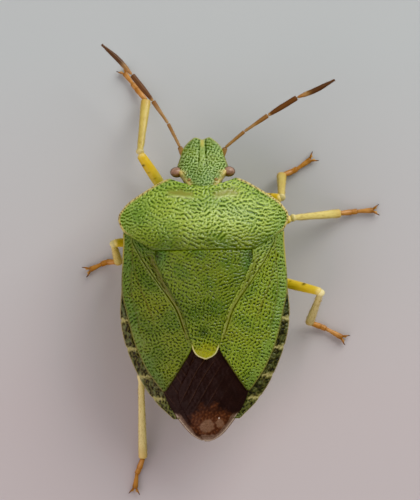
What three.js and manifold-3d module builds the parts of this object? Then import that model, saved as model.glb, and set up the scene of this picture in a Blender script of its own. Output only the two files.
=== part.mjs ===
// A green shield bug (Pentatomidae), life size, standing on its six feet with its wings folded.
// Millimetres. +Y points to the head, +X to the bug's right side, +Z up, and the floor is z = 0.
// The body's own middle line is x = 0. The last lines shift the whole bug so that the middle of
// its footprint, feelers and feet included, stands at the origin.
import * as THREE from "three";
import { mergeVertices } from "three/addons/utils/BufferGeometryUtils.js";
import Module from "manifold-3d";

const wasm = await Module();
wasm.setup();

// Driving sizes
const GAP = 0.1; // air between neighbouring nodes
const PLATE = 0.5; // thickness of shield and wing plates
const RIM = 0.15; // thickness of the soft body where it thins out at the side margin
const LIMB_RADIUS = 0.25; // least radius of a leg or feeler joint away from its tips
const TAIL_END = -6.62; // rear end of the folded wings
const HEAD_FRONT = 6.69; // front end of the head lobes
const SHOULDER = 3.14; // where the shield before the wings is widest
const SHIELD_HALF = 3.7; // half of that width
const SHIELD_REAR = 1.74; // straight hind edge of that shield
const WAIST = 0.55; // thorax and abdomen meet here on the underside
const ABDOMEN_REAR = -5.85; // the soft abdomen ends here, under the wing tips

// Half-width of the whole body at each y, from nose side to tail
const MARGIN = [
  [4.95, 1.3],
  [4.7, 1.93],
  [4.12, 2.86],
  [3.57, 3.5],
  [SHOULDER, SHIELD_HALF],
  [2.6, 3.56],
  [2.2, 3.5],
  [1.5, 3.54],
  [0, 3.62],
  [-1.05, 3.69],
  [-2.09, 3.55],
  [-3.14, 3.2],
  [-4.18, 2.7],
  [-4.97, 2.13],
  [-5.49, 1.6],
  [-5.9, 1.2],
  [TAIL_END, 1.0],
];

// Height of the back along the middle line, of the margin, and of the belly
const BACK = [
  [4.9, 3.95],
  [4.54, 4.12],
  [3.6, 4.65],
  [2.4, 4.98],
  [1.2, 5.02],
  [-1, 4.8],
  [-3, 4.42],
  [-4.4, 3.98],
  [-5.6, 3.5],
  [TAIL_END, 3.15],
];
const MARGIN_HEIGHT = [
  [4.9, 3.4],
  [4.1, 3.68],
  [SHOULDER, 3.88],
  [1.5, 3.82],
  [0, 3.76],
  [-2, 3.58],
  [-4, 3.3],
  [-5.4, 3.1],
  [TAIL_END, 2.95],
];
const BELLY = [
  [4.6, 1.55],
  [3.6, 1.2],
  [2, 1.12],
  [0.5, 1.0],
  [-1.5, 0.98],
  [-3.5, 1.3],
  [-5, 1.9],
  [ABDOMEN_REAR, 2.35],
];

// Edges of the plates on the back, each as half-width at y
const SCUTELLUM_EDGE = [
  [1.64, 2.02],
  [1.45, 2.12],
  [0.93, 1.92],
  [-0.08, 1.42],
  [-0.93, 0.96],
  [-1.7, 0.76],
  [-2.34, 0.6],
  [-2.7, 0.46],
  [-2.87, 0.28],
  [-2.96, 0.06],
];
const WING_FOLD = [
  [2.12, 3.08],
  [0.78, 2.38],
  [-0.3, 1.64],
  [-1.35, 1.14],
  [-2.1, 0.86],
];
const LEATHER_EDGE = [
  [2.45, 3.5],
  [2.1, 3.5],
  [1.5, 3.54],
  [0, 3.6],
  [-0.9, 3.42],
  [-2.2, 3.1],
  [-3.35, 2.62],
  [-4.05, 2.16],
  [-4.38, 1.9],
];
const FILM_BORDER = [
  [-2.1, 0.5],
  [-2.57, 0.62],
  [-3.4, 1.1],
  [-4.2, 1.62],
  [-4.38, 1.76],
];
const FILM_OUTER = [
  [-4.3, 1.84],
  [-4.6, 1.74],
  [-5.01, 1.58],
  [-5.49, 1.3],
  [-5.85, 1.04],
  [-6.27, 0.68],
  [-6.52, 0.32],
  [TAIL_END, 0.06],
];
// The right membrane lies on top and shows all but a strip of the left one, out to this line
const FILM_SEAM = [
  [-2.7, -0.5],
  [-3.5, -0.76],
  [-4.4, -1.22],
  [-5, -1.12],
  [-5.5, -0.84],
  [-6.1, -0.44],
  [TAIL_END, -0.1],
];

// Head
const NOSE_NOTCH = 0.1; // depth of the notch between the two lobes, where the tylus ends
const HEAD_HALF = 1.16;
const HEAD_OUTLINE = [
  [0, HEAD_FRONT - NOSE_NOTCH],
  [0.08, HEAD_FRONT - 0.08],
  [0.2, HEAD_FRONT - 0.02],
  [0.32, HEAD_FRONT],
  [0.45, 6.62],
  [0.66, 6.44],
  [0.85, 6.19],
  [1.02, 5.68],
  [1.1, 5.45],
  [HEAD_HALF, 5.25],
];
// Behind the eyes the sides of the head draw in towards the shield
const HEAD_CHEEK = [
  [0.7, 4.5],
  [0.86, 4.79],
  [0.99, 5.01],
  [1.1, 5.13],
  [HEAD_HALF, 5.19],
];
const HEAD_TOP = [
  [4.6, 4.0],
  [5.2, 3.82],
  [5.8, 3.4],
  [6.3, 2.98],
  [HEAD_FRONT, 2.66],
];
const HEAD_UNDER = [
  [4.6, 2.0],
  [5.5, 2.1],
  [6.2, 2.22],
  [HEAD_FRONT, 2.3],
];
const EYE = { x: 1.12, y: 5.14, z: 3.2, rx: 0.27, ry: 0.25, rz: 0.32 };
const OCELLUS = { x: 0.56, y: 4.8, radius: 0.11 };

// Feelers: the points between their five joints, base first, on the left and the right
const FEELER_LEFT = [
  [-0.78, 5.68, 2.5],
  [-0.99, 6.29, 2.7],
  [-1.48, 7.3, 2.85],
  [-2.13, 8.29, 3.0],
  [-3.02, 9.44, 3.1],
  [-4.34, 10.79, 3.1],
];
const FEELER_RIGHT = [
  [0.78, 5.62, 2.5],
  [1.01, 6.22, 2.7],
  [1.85, 6.9, 2.85],
  [2.89, 7.58, 3.0],
  [4.17, 8.33, 3.1],
  [5.84, 9.09, 3.1],
];
const FEELER_TIP_RADIUS = 0.14;

// Legs: where each coxa leaves the thorax, the joint with the femur, the knee, the ankle and
// the three joints of the foot up to the claws
const LEGS = {
  front_left: {
    coxa: [-0.85, 3.9, 1.42],
    hip: [-1.5, 4.05, 1.1],
    knee: [-2.77, 6.05, 1.7],
    ankle: [-2.49, 8.46, 0.45],
    foot: [
      [-2.91, 9.01, 0.22],
      [-3.08, 9.23, 0.2],
      [-3.43, 9.71, 0.2],
    ],
  },
  front_right: {
    coxa: [0.85, 3.9, 1.42],
    hip: [1.5, 4.0, 1.1],
    knee: [3.43, 3.96, 2.65],
    ankle: [3.51, 5.01, 0.45],
    foot: [
      [3.98, 5.18, 0.22],
      [4.21, 5.3, 0.2],
      [4.82, 5.71, 0.2],
    ],
  },
  middle_left: {
    coxa: [-0.95, 2.15, 1.3],
    hip: [-1.65, 2.2, 1.0],
    knee: [-3.96, 2.11, 2.85],
    ankle: [-3.83, 1.27, 0.45],
    foot: [
      [-4.35, 1.28, 0.22],
      [-4.6, 1.18, 0.2],
      [-5.12, 0.95, 0.2],
    ],
  },
  middle_right: {
    coxa: [0.95, 2.15, 1.3],
    hip: [1.65, 2.2, 1.0],
    knee: [3.86, 3.09, 2.05],
    ankle: [6.07, 3.28, 0.45],
    foot: [
      [6.62, 3.33, 0.22],
      [6.86, 3.36, 0.2],
      [7.58, 3.4, 0.2],
    ],
  },
  hind_left: {
    coxa: [-0.95, 1.1, 1.25],
    hip: [-1.65, 0.75, 0.9],
    knee: [-2.88, -3.7, 1.45],
    ankle: [-2.88, -7.5, 0.45],
    foot: [
      [-3.06, -7.98, 0.22],
      [-3.16, -8.2, 0.2],
      [-3.26, -8.85, 0.2],
    ],
  },
  hind_right: {
    coxa: [0.95, 1.1, 1.25],
    hip: [1.65, 0.75, 0.9],
    knee: [5.07, -0.16, 3.5],
    ankle: [4.65, -1.57, 0.45],
    foot: [
      [5.15, -1.76, 0.22],
      [5.38, -1.86, 0.2],
      [6.1, -2.26, 0.2],
    ],
  },
};
const COXA_RADIUS = 0.42;
const CLAW = { length: 0.3, spread: 0.55, root: 0.12, tip: 0.05 };
const FOOT_RADII = [0.22, 0.25, 0.24, 0.2];

// The sucking beak, from under the nose back between the legs
const BEAK = [
  [0, 6.25, 2.02],
  [0, 5.3, 1.66],
  [0, 4.55, 1.15],
  [0, 3.7, 0.82],
  [0, 1.4, 0.72],
];

const finish = (color, roughness, metalness = 0) =>
  new THREE.MeshStandardMaterial({ color, roughness, metalness });
const MATERIALS = {
  shield: finish(0x7f9a3a, 0.45),
  scutellum: finish(0x6a8130, 0.45),
  leather: finish(0x5d6d22, 0.45),
  film: finish(0x241713, 0.35),
  margin: finish(0x6a6434, 0.5),
  belly: finish(0x9aa65a, 0.5),
  eye: finish(0x8a6b50, 0.25),
  feeler: finish(0x8a5a2c, 0.5),
  feelerTip: finish(0x5b3620, 0.5),
  leg: finish(0xb8a04e, 0.5),
  foot: finish(0x93602c, 0.5),
  beak: finish(0x9c7a3e, 0.5),
};

// A smooth function through [place, value] stations, held level past both ends.
function curve(stations) {
  const sorted = [...stations].sort((a, b) => a[0] - b[0]);
  const last = sorted.length - 1;
  const slope = (i) => {
    const before = sorted[Math.max(i - 1, 0)];
    const after = sorted[Math.min(i + 1, last)];
    return (after[1] - before[1]) / (after[0] - before[0]);
  };
  return (s) => {
    if (s <= sorted[0][0]) return sorted[0][1];
    if (s >= sorted[last][0]) return sorted[last][1];
    let i = 0;
    while (sorted[i + 1][0] < s) i += 1;
    const [s0, v0] = sorted[i];
    const [s1, v1] = sorted[i + 1];
    const width = s1 - s0;
    const t = (s - s0) / width;
    const bend = 3 * t * t - 2 * t * t * t;
    const enter = (t * t * t - 2 * t * t + t) * width * slope(i);
    const leave = (t * t * t - t * t) * width * slope(i + 1);
    return v0 + (v1 - v0) * bend + enter + leave;
  };
}

const margin = curve(MARGIN);
const back = curve(BACK);
const marginHeight = curve(MARGIN_HEIGHT);
const belly = curve(BELLY);
const scutellumEdge = curve(SCUTELLUM_EDGE);
const wingFold = curve(WING_FOLD);
const leatherEdge = curve(LEATHER_EDGE);
const filmBorder = curve(FILM_BORDER);
const filmOuter = curve(FILM_OUTER);
const filmSeam = curve(FILM_SEAM);
const headOutline = curve(HEAD_OUTLINE);
const headCheek = curve(HEAD_CHEEK);
const headTop = curve(HEAD_TOP);
const headUnder = curve(HEAD_UNDER);

// Height of the upper side of the body at x, y: a broad arch between the two margins.
function dorsal(x, y) {
  const share = Math.min(Math.abs(x) / Math.max(margin(y), 1.7), 1.05);
  return marginHeight(y) + (back(y) - marginHeight(y)) * (1 - share ** 2.3);
}

// Height of the underside at x, y: a keel that rises evenly to the margins.
function ventral(x, y) {
  const share = Math.min(Math.abs(x) / Math.max(margin(y), 1.2), 1);
  const edge = marginHeight(y) - PLATE - GAP - RIM;
  return belly(y) + Math.max(edge - belly(y), 0.1) * share ** 2;
}

// Evenly spaced numbers from first to last.
const steps = (first, last, count) =>
  Array.from({ length: count + 1 }, (_, i) => first + ((last - first) * i) / count);

// A closed plate between the height functions top and bottom. Along the stations it spans from
// low(s) to high(s), at the given shares. The stations run along y, or along x where turned.
function plate({ stations, shares, low, high, top, bottom, turned = false }) {
  const rows = stations.length;
  const columns = shares.length;
  const points = [];
  for (const height of [top, bottom])
    for (const s of stations)
      for (const share of shares) {
        const t = low(s) + (high(s) - low(s)) * share;
        const [x, y] = turned ? [s, t] : [t, s];
        points.push(x, y, height(x, y));
      }
  const under = rows * columns;
  const at = (row, column) => row * columns + column;
  const faces = [];
  const quad = (a, b, c, d) => faces.push(a, b, c, a, c, d);
  for (let r = 0; r < rows - 1; r += 1)
    for (let c = 0; c < columns - 1; c += 1) {
      quad(at(r, c), at(r, c + 1), at(r + 1, c + 1), at(r + 1, c));
      quad(under + at(r, c), under + at(r + 1, c), under + at(r + 1, c + 1), under + at(r, c + 1));
    }
  const ring = [
    ...steps(0, columns - 1, columns - 1).map((c) => at(0, c)),
    ...steps(1, rows - 1, rows - 2).map((r) => at(r, columns - 1)),
    ...steps(columns - 2, 0, columns - 2).map((c) => at(rows - 1, c)),
    ...steps(rows - 2, 1, rows - 3).map((r) => at(r, 0)),
  ];
  ring.forEach((a, i) => {
    const b = ring[(i + 1) % ring.length];
    quad(a, under + a, under + b, b);
  });
  const geometry = new THREE.BufferGeometry();
  geometry.setAttribute("position", new THREE.Float32BufferAttribute(points, 3));
  geometry.setIndex(faces);
  return solid(geometry);
}

// The manifold solid of a closed three.js geometry, its flattened faces left out. A surface
// that came inside out is turned round.
function solid(geometry) {
  const bare = geometry.clone();
  bare.deleteAttribute("normal");
  bare.deleteAttribute("uv");
  const merged = mergeVertices(bare, 1e-4);
  const index = [];
  for (let i = 0; i < merged.index.count; i += 3) {
    const [a, b, c] = [0, 1, 2].map((k) => merged.index.getX(i + k));
    if (a !== b && b !== c && c !== a) index.push(a, b, c);
  }
  const build = (triVerts) =>
    new wasm.Manifold(
      new wasm.Mesh({
        numProp: 3,
        vertProperties: new Float32Array(merged.attributes.position.array),
        triVerts: new Uint32Array(triVerts),
      }),
    );
  const made = build(index);
  return made.volume() < 0 ? build(index.reverse()) : made;
}

// A round limb along the points, with a radius at each point and blunt, rounded ends. A limb
// grown by some amount all round is the room that its neighbours leave for it.
function limb(points, radii, { sides = 8, pieces = 2, grown = 0 } = {}) {
  const path = new THREE.CatmullRomCurve3(
    points.map((p) => new THREE.Vector3(...p)),
    false,
    "centripetal",
  );
  const length = path.getLength();
  const radiusAt = curve(radii.map((r, i) => [i / (radii.length - 1), r + grown]));
  const cap = (0.6 * radii[0]) / length;
  const shares = [0, 0.4 * cap, ...steps(cap, 1 - cap, pieces), 1 - 0.4 * cap, 1];
  const blunt = [0.55, 0.86];
  const slices = 64;
  const frames = path.computeFrenetFrames(slices, false);
  const positions = [];
  shares.forEach((share, i) => {
    const fromEnd = Math.min(i, shares.length - 1 - i);
    const radius = radiusAt(share) * (blunt[fromEnd] ?? 1);
    const centre = path.getPointAt(share);
    const tangent = path.getTangentAt(share);
    if (i === 0) centre.addScaledVector(tangent, -grown);
    if (i === shares.length - 1) centre.addScaledVector(tangent, grown);
    const { normals, binormals } = frames;
    const slice = Math.round(share * slices);
    for (let k = 0; k < sides; k += 1) {
      const angle = (2 * Math.PI * k) / sides;
      const point = centre.clone();
      point.addScaledVector(normals[slice], radius * Math.cos(angle));
      point.addScaledVector(binormals[slice], radius * Math.sin(angle));
      positions.push(point.x, point.y, point.z);
    }
  });
  const faces = [];
  const far = (shares.length - 1) * sides;
  for (let ring = 0; ring < far; ring += sides)
    for (let k = 0; k < sides; k += 1) {
      const [a, b] = [ring + k, ring + ((k + 1) % sides)];
      faces.push(a, b, b + sides, a, b + sides, a + sides);
    }
  for (let k = 1; k < sides - 1; k += 1) {
    faces.push(0, k + 1, k);
    faces.push(far, far + k, far + k + 1);
  }
  const geometry = new THREE.BufferGeometry();
  geometry.setAttribute("position", new THREE.Float32BufferAttribute(positions, 3));
  geometry.setIndex(faces);
  return solid(geometry);
}

// An ellipsoid round a point.
function bead(x, y, z, rx, ry, rz, around = 12) {
  const ball = new THREE.SphereGeometry(1, around, Math.round(around * 0.6));
  return solid(ball.scale(rx, ry, rz).translate(x, y, z));
}

// Only the largest closed surface of a cut or joined solid.
function largest(body) {
  const bodies = body.decompose();
  return bodies.reduce((best, next) => (next.volume() > best.volume() ? next : best));
}

// All below the floor is cut off, which gives feet their flat soles.
const ground = solid(new THREE.BoxGeometry(40, 40, 2).translate(0, 0, -1));

const bug = new THREE.Group();
bug.name = "shield_bug";

// Adds a solid to the bug as a named mesh.
function node(name, body, material) {
  const { numProp, vertProperties, triVerts } = largest(body).getMesh();
  const geometry = new THREE.BufferGeometry();
  geometry.setAttribute("position", new THREE.BufferAttribute(vertProperties, numProp));
  geometry.setIndex(new THREE.BufferAttribute(triVerts, 1));
  geometry.computeVertexNormals();
  const mesh = new THREE.Mesh(geometry, MATERIALS[material]);
  mesh.name = name;
  bug.add(mesh);
}

// Shares from margin to margin, closer together near both sides where the back bends down.
const ACROSS = [-1, -0.96, -0.86, -0.7, -0.48, -0.24, 0, 0.24, 0.48, 0.7, 0.86, 0.96, 1];
const fromSides = ACROSS.map((u) => (u + 1) / 2);

// Shield before the wings
const NECK_DEPTH = 0.33; // how far the front edge of the shield curves back behind the head
const CORNER = 1.43; // half-width between the front corners of the shield
const NECK = 4.54;
const shieldFront = curve([
  [CORNER, NECK + NECK_DEPTH],
  [1.62, 4.83],
  [1.95, 4.68],
  [2.86, 4.12],
  [3.3, 3.8],
  [3.55, 3.5],
  [3.66, 3.33],
  [SHIELD_HALF, SHOULDER],
]);
const shieldRear = curve([
  [2.1, SHIELD_REAR],
  [2.25, 1.78],
  [3.13, 2.34],
  [3.45, 2.55],
  [3.62, 2.82],
  [SHIELD_HALF, SHOULDER - 0.06],
]);

function shieldFrontAt(x) {
  const side = Math.abs(x);
  return side < CORNER ? NECK + NECK_DEPTH * (side / CORNER) ** 2 : shieldFront(side);
}

const SHIELD_RISE = 0.08; // the shield stands this much above the wings
const shieldTop = (x, y) => dorsal(x, y) + SHIELD_RISE;
const HALF = [0, 0.4, 0.8, 1.15, CORNER, 1.62, 1.95, 2.4, 2.86, 3.15, 3.38, 3.55, 3.66];
const bothSides = (list) => [...list.slice(1).map((v) => -v).reverse(), ...list];
const shield = plate({
  stations: bothSides([...HALF, SHIELD_HALF]),
  shares: [0, 0.08, 0.25, 0.45, 0.65, 0.85, 0.95, 1],
  low: (x) => shieldRear(Math.abs(x)),
  high: shieldFrontAt,
  top: shieldTop,
  bottom: (x, y) => shieldTop(x, y) - PLATE,
  turned: true,
});
node("pronotum", shield, "shield");

// Triangular plate between the wings, a little domed from side to side
const SCUTELLUM_DOME = 0.07;
function scutellumTop(x, y) {
  const share = x / (scutellumEdge(y) + 0.01);
  return dorsal(x, y) + SCUTELLUM_DOME * (1 - share ** 2);
}
node(
  "scutellum",
  plate({
    stations: [1.64, 1.45, 1.1, 0.78, 0.4, 0, -0.5, -0.9, -1.31, -1.8, -2.31, -2.7, -2.87, -2.96],
    shares: steps(0, 1, 8),
    low: (y) => -scutellumEdge(y),
    high: scutellumEdge,
    top: scutellumTop,
    bottom: (x, y) => dorsal(x, y) - PLATE,
  }),
  "scutellum",
);

// Edges of the wing plates on the right side, each set back from its neighbour
const SHIELD_SIDES = steps(2.1, SHIELD_HALF, 64);
const rearOfShield = (y) => SHIELD_SIDES.find((x) => shieldRear(x) >= y + GAP) ?? SHIELD_HALF;
const foldInner = (y) =>
  y > SHIELD_REAR - GAP ? rearOfShield(y) : scutellumEdge(y) + GAP;
const foldOuter = (y) => wingFold(y) - GAP / 2;
const FOLD_START = 2.12; // the fold between clavus and corium runs from here
const FOLD_END = -2.05; // to here
const leatherInner = (y) => {
  if (y > FOLD_START) return rearOfShield(y);
  if (y > FOLD_END) return Math.max(wingFold(y) + GAP / 2, y > SHIELD_REAR ? rearOfShield(y) : 0);
  return Math.max(filmBorder(y), scutellumEdge(y) + GAP);
};
// The stout vein of the fore wing is a low ridge that starts at the wing base and fades out
const VEIN_SHARE = 0.62; // where it runs, as a share of the corium's width
const VEIN = { height: 0.05, width: 0.12, end: -3.2, fade: 2 };
const CORIUM_SHARES = [0, 0.15, 0.35, 0.53, VEIN_SHARE, 0.71, 0.86, 1];

// A fore wing's leathery part: the narrow clavus beside the scutellum and the broad corium
function wing(side, sign) {
  const mirrored = (low, high) =>
    sign > 0 ? { low, high } : { low: (y) => -high(y), high: (y) => -low(y) };
  node(
    `clavus_${side}`,
    plate({
      stations: [2.06, 1.85, 1.64, 1.4, 1.1, 0.78, 0.3, -0.3, -0.8, -1.35, -1.75, -1.95],
      shares: steps(0, 1, 3),
      ...mirrored(foldInner, foldOuter),
      top: dorsal,
      bottom: (x, y) => dorsal(x, y) - PLATE,
    }),
    "leather",
  );
  node(
    `corium_${side}`,
    plate({
      stations: [2.4, 2.12, 1.8, 1.4, 0.8, 0.2, -0.5, -1.2, -2.04, -2.6, -3.2, -3.8, -4.2, -4.38],
      shares: sign > 0 ? CORIUM_SHARES : CORIUM_SHARES.map((t) => 1 - t).reverse(),
      ...mirrored(leatherInner, leatherEdge),
      top: (x, y) => dorsal(x, y) + wingRidge(Math.abs(x), y),
      bottom: (x, y) => dorsal(x, y) - PLATE,
    }),
    "leather",
  );
}

function wingRidge(x, y) {
  const place = leatherInner(y) + VEIN_SHARE * (leatherEdge(y) - leatherInner(y));
  const fade = Math.max(0, Math.min(1, (y - VEIN.end) / VEIN.fade));
  return VEIN.height * fade * Math.exp(-(((x - place) / VEIN.width) ** 2));
}
wing("left", -1);
wing("right", 1);

// Membranes of the folded wings. The right one lies on top. Its veins are ridges that leave the
// border of the right corium and slant to the left side on their way back.
const VEINS = 6;
const VEIN_SLANT = 0.55; // how many veins a line straight back crosses in each millimetre
const VEIN_HEIGHT = 0.07;
const FILM_DROP = 0.08; // the films lie this much lower than the leathery plates
const SCUTELLUM_TIP = -2.96;
const LEATHER_TIP = -4.3; // behind this the films reach out to the rims of the abdomen
const filmSide = (y) => (y > LEATHER_TIP ? filmBorder(y) - GAP : filmOuter(y));
const besideScutellum = (y) => scutellumEdge(y + 0.7 * GAP) + 0.7 * GAP;
const rightFilmLow = (y) =>
  y > SCUTELLUM_TIP - 0.11 ? besideScutellum(y) : filmSeam(y) + GAP / 2;
const leftFilmHigh = (y) =>
  y > SCUTELLUM_TIP - 0.02 ? -besideScutellum(y) : filmSeam(y) - GAP / 2;
const filmBottom = (x, y) => dorsal(x, y) - FILM_DROP - filmThickness(y);
const filmThickness = curve([
  [TAIL_END, 0.3],
  [-5.6, PLATE],
]);
function veinedTop(x, y) {
  const low = rightFilmLow(y);
  const share = (x - low) / Math.max(filmSide(y) - low, 0.01);
  const wave = Math.cos(2 * Math.PI * (VEINS * share - VEIN_SLANT * (y - TAIL_END)));
  const fade = Math.min(1, (y - TAIL_END) / 0.9, (SCUTELLUM_TIP - y) / 0.5);
  return dorsal(x, y) - FILM_DROP + VEIN_HEIGHT * Math.max(0, fade) * Math.max(0, wave);
}
node(
  "membrane_right",
  plate({
    stations: [-2.75, -2.9, -2.99, -3.06, -3.16, ...steps(-3.4, -6.2, 9), -6.45, -6.57, TAIL_END],
    shares: steps(0, 1, 4 * VEINS),
    low: rightFilmLow,
    high: filmSide,
    top: veinedTop,
    bottom: filmBottom,
  }),
  "film",
);
node(
  "membrane_left",
  plate({
    stations: [-2.75, -2.9, -2.97, -3.07, -3.3, -3.7, -4.1, -4.35, -4.7, -5.1, -5.6, -6.1, -6.4],
    shares: steps(0, 1, 4),
    low: (y) => -filmSide(y),
    high: leftFilmHigh,
    top: (x, y) => dorsal(x, y) - FILM_DROP,
    bottom: filmBottom,
  }),
  "film",
);

// The banded side rim of the abdomen, outside the wings
const RIM_DROP = 0.06; // it lies this much lower than the wings
const rimInner = (y) => (y > LEATHER_TIP ? leatherEdge(y) : filmOuter(y)) + GAP;
for (const [side, sign] of [
  ["left", -1],
  ["right", 1],
]) {
  node(
    `connexivum_${side}`,
    plate({
      stations: [-0.75, -1, -1.5, -2.1, -2.6, -3.14, -3.7, -4.18, -4.6, -4.97, -5.3, -5.55],
      shares: steps(0, 1, 3),
      low: sign > 0 ? rimInner : (y) => -margin(y),
      high: sign > 0 ? margin : (y) => -rimInner(y),
      top: (x, y) => dorsal(x, y) - RIM_DROP,
      bottom: (x, y) => dorsal(x, y) - PLATE,
    }),
    "margin",
  );
}

// Soft body under the plates
const underPlates = (x, y) => dorsal(x, y) - PLATE - GAP;
const bodyEdge = (y) => margin(y) - GAP / 2;
const TAIL = -5.2; // behind this the soft abdomen narrows to its blunt end
const tailHalf = curve([
  [TAIL, 1.84],
  [-5.5, 1.48],
  [-5.7, 1.1],
  [ABDOMEN_REAR, 0.6],
]);
const abdomenHalf = (y) => (y > TAIL ? bodyEdge(y) : tailHalf(y));
const abdomen = plate({
  stations: [WAIST - GAP / 2, ...steps(0, -4.8, 8), TAIL, -5.5, -5.7, ABDOMEN_REAR],
  shares: fromSides,
  low: (y) => -abdomenHalf(y),
  high: abdomenHalf,
  top: (x, y) => Math.max(underPlates(x, y), ventral(x, y) + RIM),
  bottom: ventral,
});

const thoraxHalf = curve([
  [WAIST, 3.5],
  [2.2, 3.36],
  [SHOULDER, 3.4],
  [3.6, 3.16],
  [4.1, 2.55],
  [4.45, 1.9],
]);
const thoraxBlock = plate({
  stations: [WAIST + GAP / 2, 1, 1.5, 2, 2.5, 3.14, 3.6, 4.1, 4.42],
  shares: fromSides,
  low: (y) => -thoraxHalf(y),
  high: thoraxHalf,
  top: underPlates,
  bottom: ventral,
});

// Head with its two side lobes and the ridge of the tylus between two grooves
const GROOVE = { x: 0.17, width: 0.05, depth: 0.06, rear: 5.05, fade: 0.6 };
const HEAD_FALL = 0.5; // how much lower the head is at its sides than along its middle
const HEAD_KEEL = 0.45; // how much lower its underside is along its middle
const NOSE = 6.2; // in front of this the underside is flatter
function headRoof(x, y) {
  const side = Math.abs(x) / HEAD_HALF;
  const groove = Math.exp(-(((Math.abs(x) - GROOVE.x) / GROOVE.width) ** 2));
  const fade = Math.max(0, Math.min(1, (y - GROOVE.rear) / GROOVE.fade));
  return headTop(y) - HEAD_FALL * side ** 2.2 - GROOVE.depth * groove * fade;
}
function headFloor(x, y) {
  const keel = y > NOSE ? 0.4 * HEAD_KEEL : HEAD_KEEL;
  return headUnder(y) + keel * (x / HEAD_HALF) ** 2;
}
const HEAD_COLUMNS = [0, 0.08, 0.13, 0.17, 0.22, 0.34, 0.5, 0.68, 0.86, 0.99, 1.1, HEAD_HALF];
const headBlock = plate({
  stations: bothSides(HEAD_COLUMNS),
  shares: [0, 0.12, 0.26, 0.4, 0.54, 0.66, 0.78, 0.88, 0.95, 1],
  low: (x) => Math.max(shieldFrontAt(x) + GAP, headCheek(Math.abs(x))),
  high: (x) => headOutline(Math.abs(x)),
  top: headRoof,
  bottom: headFloor,
  turned: true,
});
const eyes = [-1, 1].map((sign) => bead(sign * EYE.x, EYE.y, EYE.z, EYE.rx, EYE.ry, EYE.rz));
const eyeRooms = [-1, 1].map((sign) =>
  bead(sign * EYE.x, EYE.y, EYE.z, EYE.rx + GAP, EYE.ry + GAP, EYE.rz + GAP),
);
const ocelli = [-1, 1].map((sign) => {
  const { x, y, radius } = OCELLUS;
  return bead(sign * x, y, headRoof(x, y), radius, radius, radius, 6);
});

// The beak and the room it needs
const BEAK_RADII = [0.25, 0.26, 0.25, 0.24, 0.14];
const beak = limb(BEAK, BEAK_RADII, { pieces: 8 });
const beakRoom = limb(BEAK, BEAK_RADII, { pieces: 8, grown: GAP });

// A feeler as five joints, each cut clear of the one before it.
const FEELER_RADII = [0.25, 0.22, 0.23, LIMB_RADIUS, LIMB_RADIUS];
function feeler(side, joints) {
  const rooms = [];
  FEELER_RADII.forEach((thick, i) => {
    const end = i === 4 ? FEELER_TIP_RADIUS : 0.95 * thick;
    const radii = [0.9 * thick, thick, end];
    const run = [joints[i], joints[i + 1]];
    const body = limb(run, radii);
    const clear = i > 0 ? body.subtract(rooms[i - 1]) : body;
    node(`antenna_${side}_${i + 1}`, clear, i < 3 ? "feeler" : "feelerTip");
    rooms.push(limb(run, radii, { grown: GAP }));
  });
  return rooms[0];
}
const feelerRooms = [feeler("left", FEELER_LEFT), feeler("right", FEELER_RIGHT)];

const head = [...eyeRooms, ...feelerRooms, beakRoom].reduce(
  (body, room) => body.subtract(room),
  headBlock.add(ocelli[0]).add(ocelli[1]),
);
node("head", head, "shield");
node("eye_left", eyes[0], "eye");
node("eye_right", eyes[1], "eye");
node("rostrum", beak, "beak");

// A foot: three joints along the floor and two claws, on a flat sole.
function footOf(ankle, [first, second, toe]) {
  const sole = limb([ankle, first, second, toe], FOOT_RADII, { pieces: 6 });
  const along = new THREE.Vector3(...toe).sub(new THREE.Vector3(...second)).setZ(0).normalize();
  const claws = [-1, 1].map((turn) => {
    const way = along.clone().applyAxisAngle(new THREE.Vector3(0, 0, 1), turn * CLAW.spread);
    const root = new THREE.Vector3(...toe);
    const tip = root.clone().addScaledVector(way, CLAW.length + FOOT_RADII[3]).setZ(0.1);
    return limb([root.toArray(), tip.toArray()], [CLAW.root, CLAW.root, CLAW.tip], { sides: 5 });
  });
  return claws.reduce((body, claw) => body.add(claw), sole).subtract(ground);
}

const COXA_RADII = [COXA_RADIUS, 0.38, 0.3];
const THIGH_RADII = [LIMB_RADIUS, 0.28, LIMB_RADIUS];
const SHIN_RADII = [LIMB_RADIUS, LIMB_RADIUS];
const coxaRooms = [];
for (const [place, { coxa, hip, knee, ankle, foot }] of Object.entries(LEGS)) {
  const coxaRoom = limb([coxa, hip], COXA_RADII, { grown: GAP });
  const thighRoom = limb([hip, knee], THIGH_RADII, { grown: GAP });
  const shinRoom = limb([knee, ankle], SHIN_RADII, { grown: GAP });
  node(`coxa_${place}`, limb([coxa, hip], COXA_RADII).subtract(beakRoom), "leg");
  node(`femur_${place}`, limb([hip, knee], THIGH_RADII).subtract(coxaRoom), "leg");
  node(`tibia_${place}`, limb([knee, ankle], SHIN_RADII).subtract(thighRoom), "leg");
  node(`tarsus_${place}`, footOf(ankle, foot).subtract(shinRoom), "foot");
  coxaRooms.push(coxaRoom);
}

const thorax = [...coxaRooms, beakRoom].reduce((body, room) => body.subtract(room), thoraxBlock);
node("thorax", thorax, "belly");
node(
  "abdomen",
  coxaRooms.reduce((body, room) => body.subtract(room), abdomen),
  "belly",
);

const reach = new THREE.Box3().setFromObject(bug, true);
const middle = reach.getCenter(new THREE.Vector3());
bug.position.set(-middle.x, -middle.y, -reach.min.z);
bug.updateMatrixWorld(true);

export default bug;
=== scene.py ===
"""The looks of a green shield bug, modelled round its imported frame.

Sizes called mm are in the bug's own millimetres: x to its right, y to its head, z up, with the
middle line of the body at x = 0. Everything in the scene is in metres, in the frame's place.
"""
import math

import bpy
import numpy as np
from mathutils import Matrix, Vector, kdtree


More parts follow.
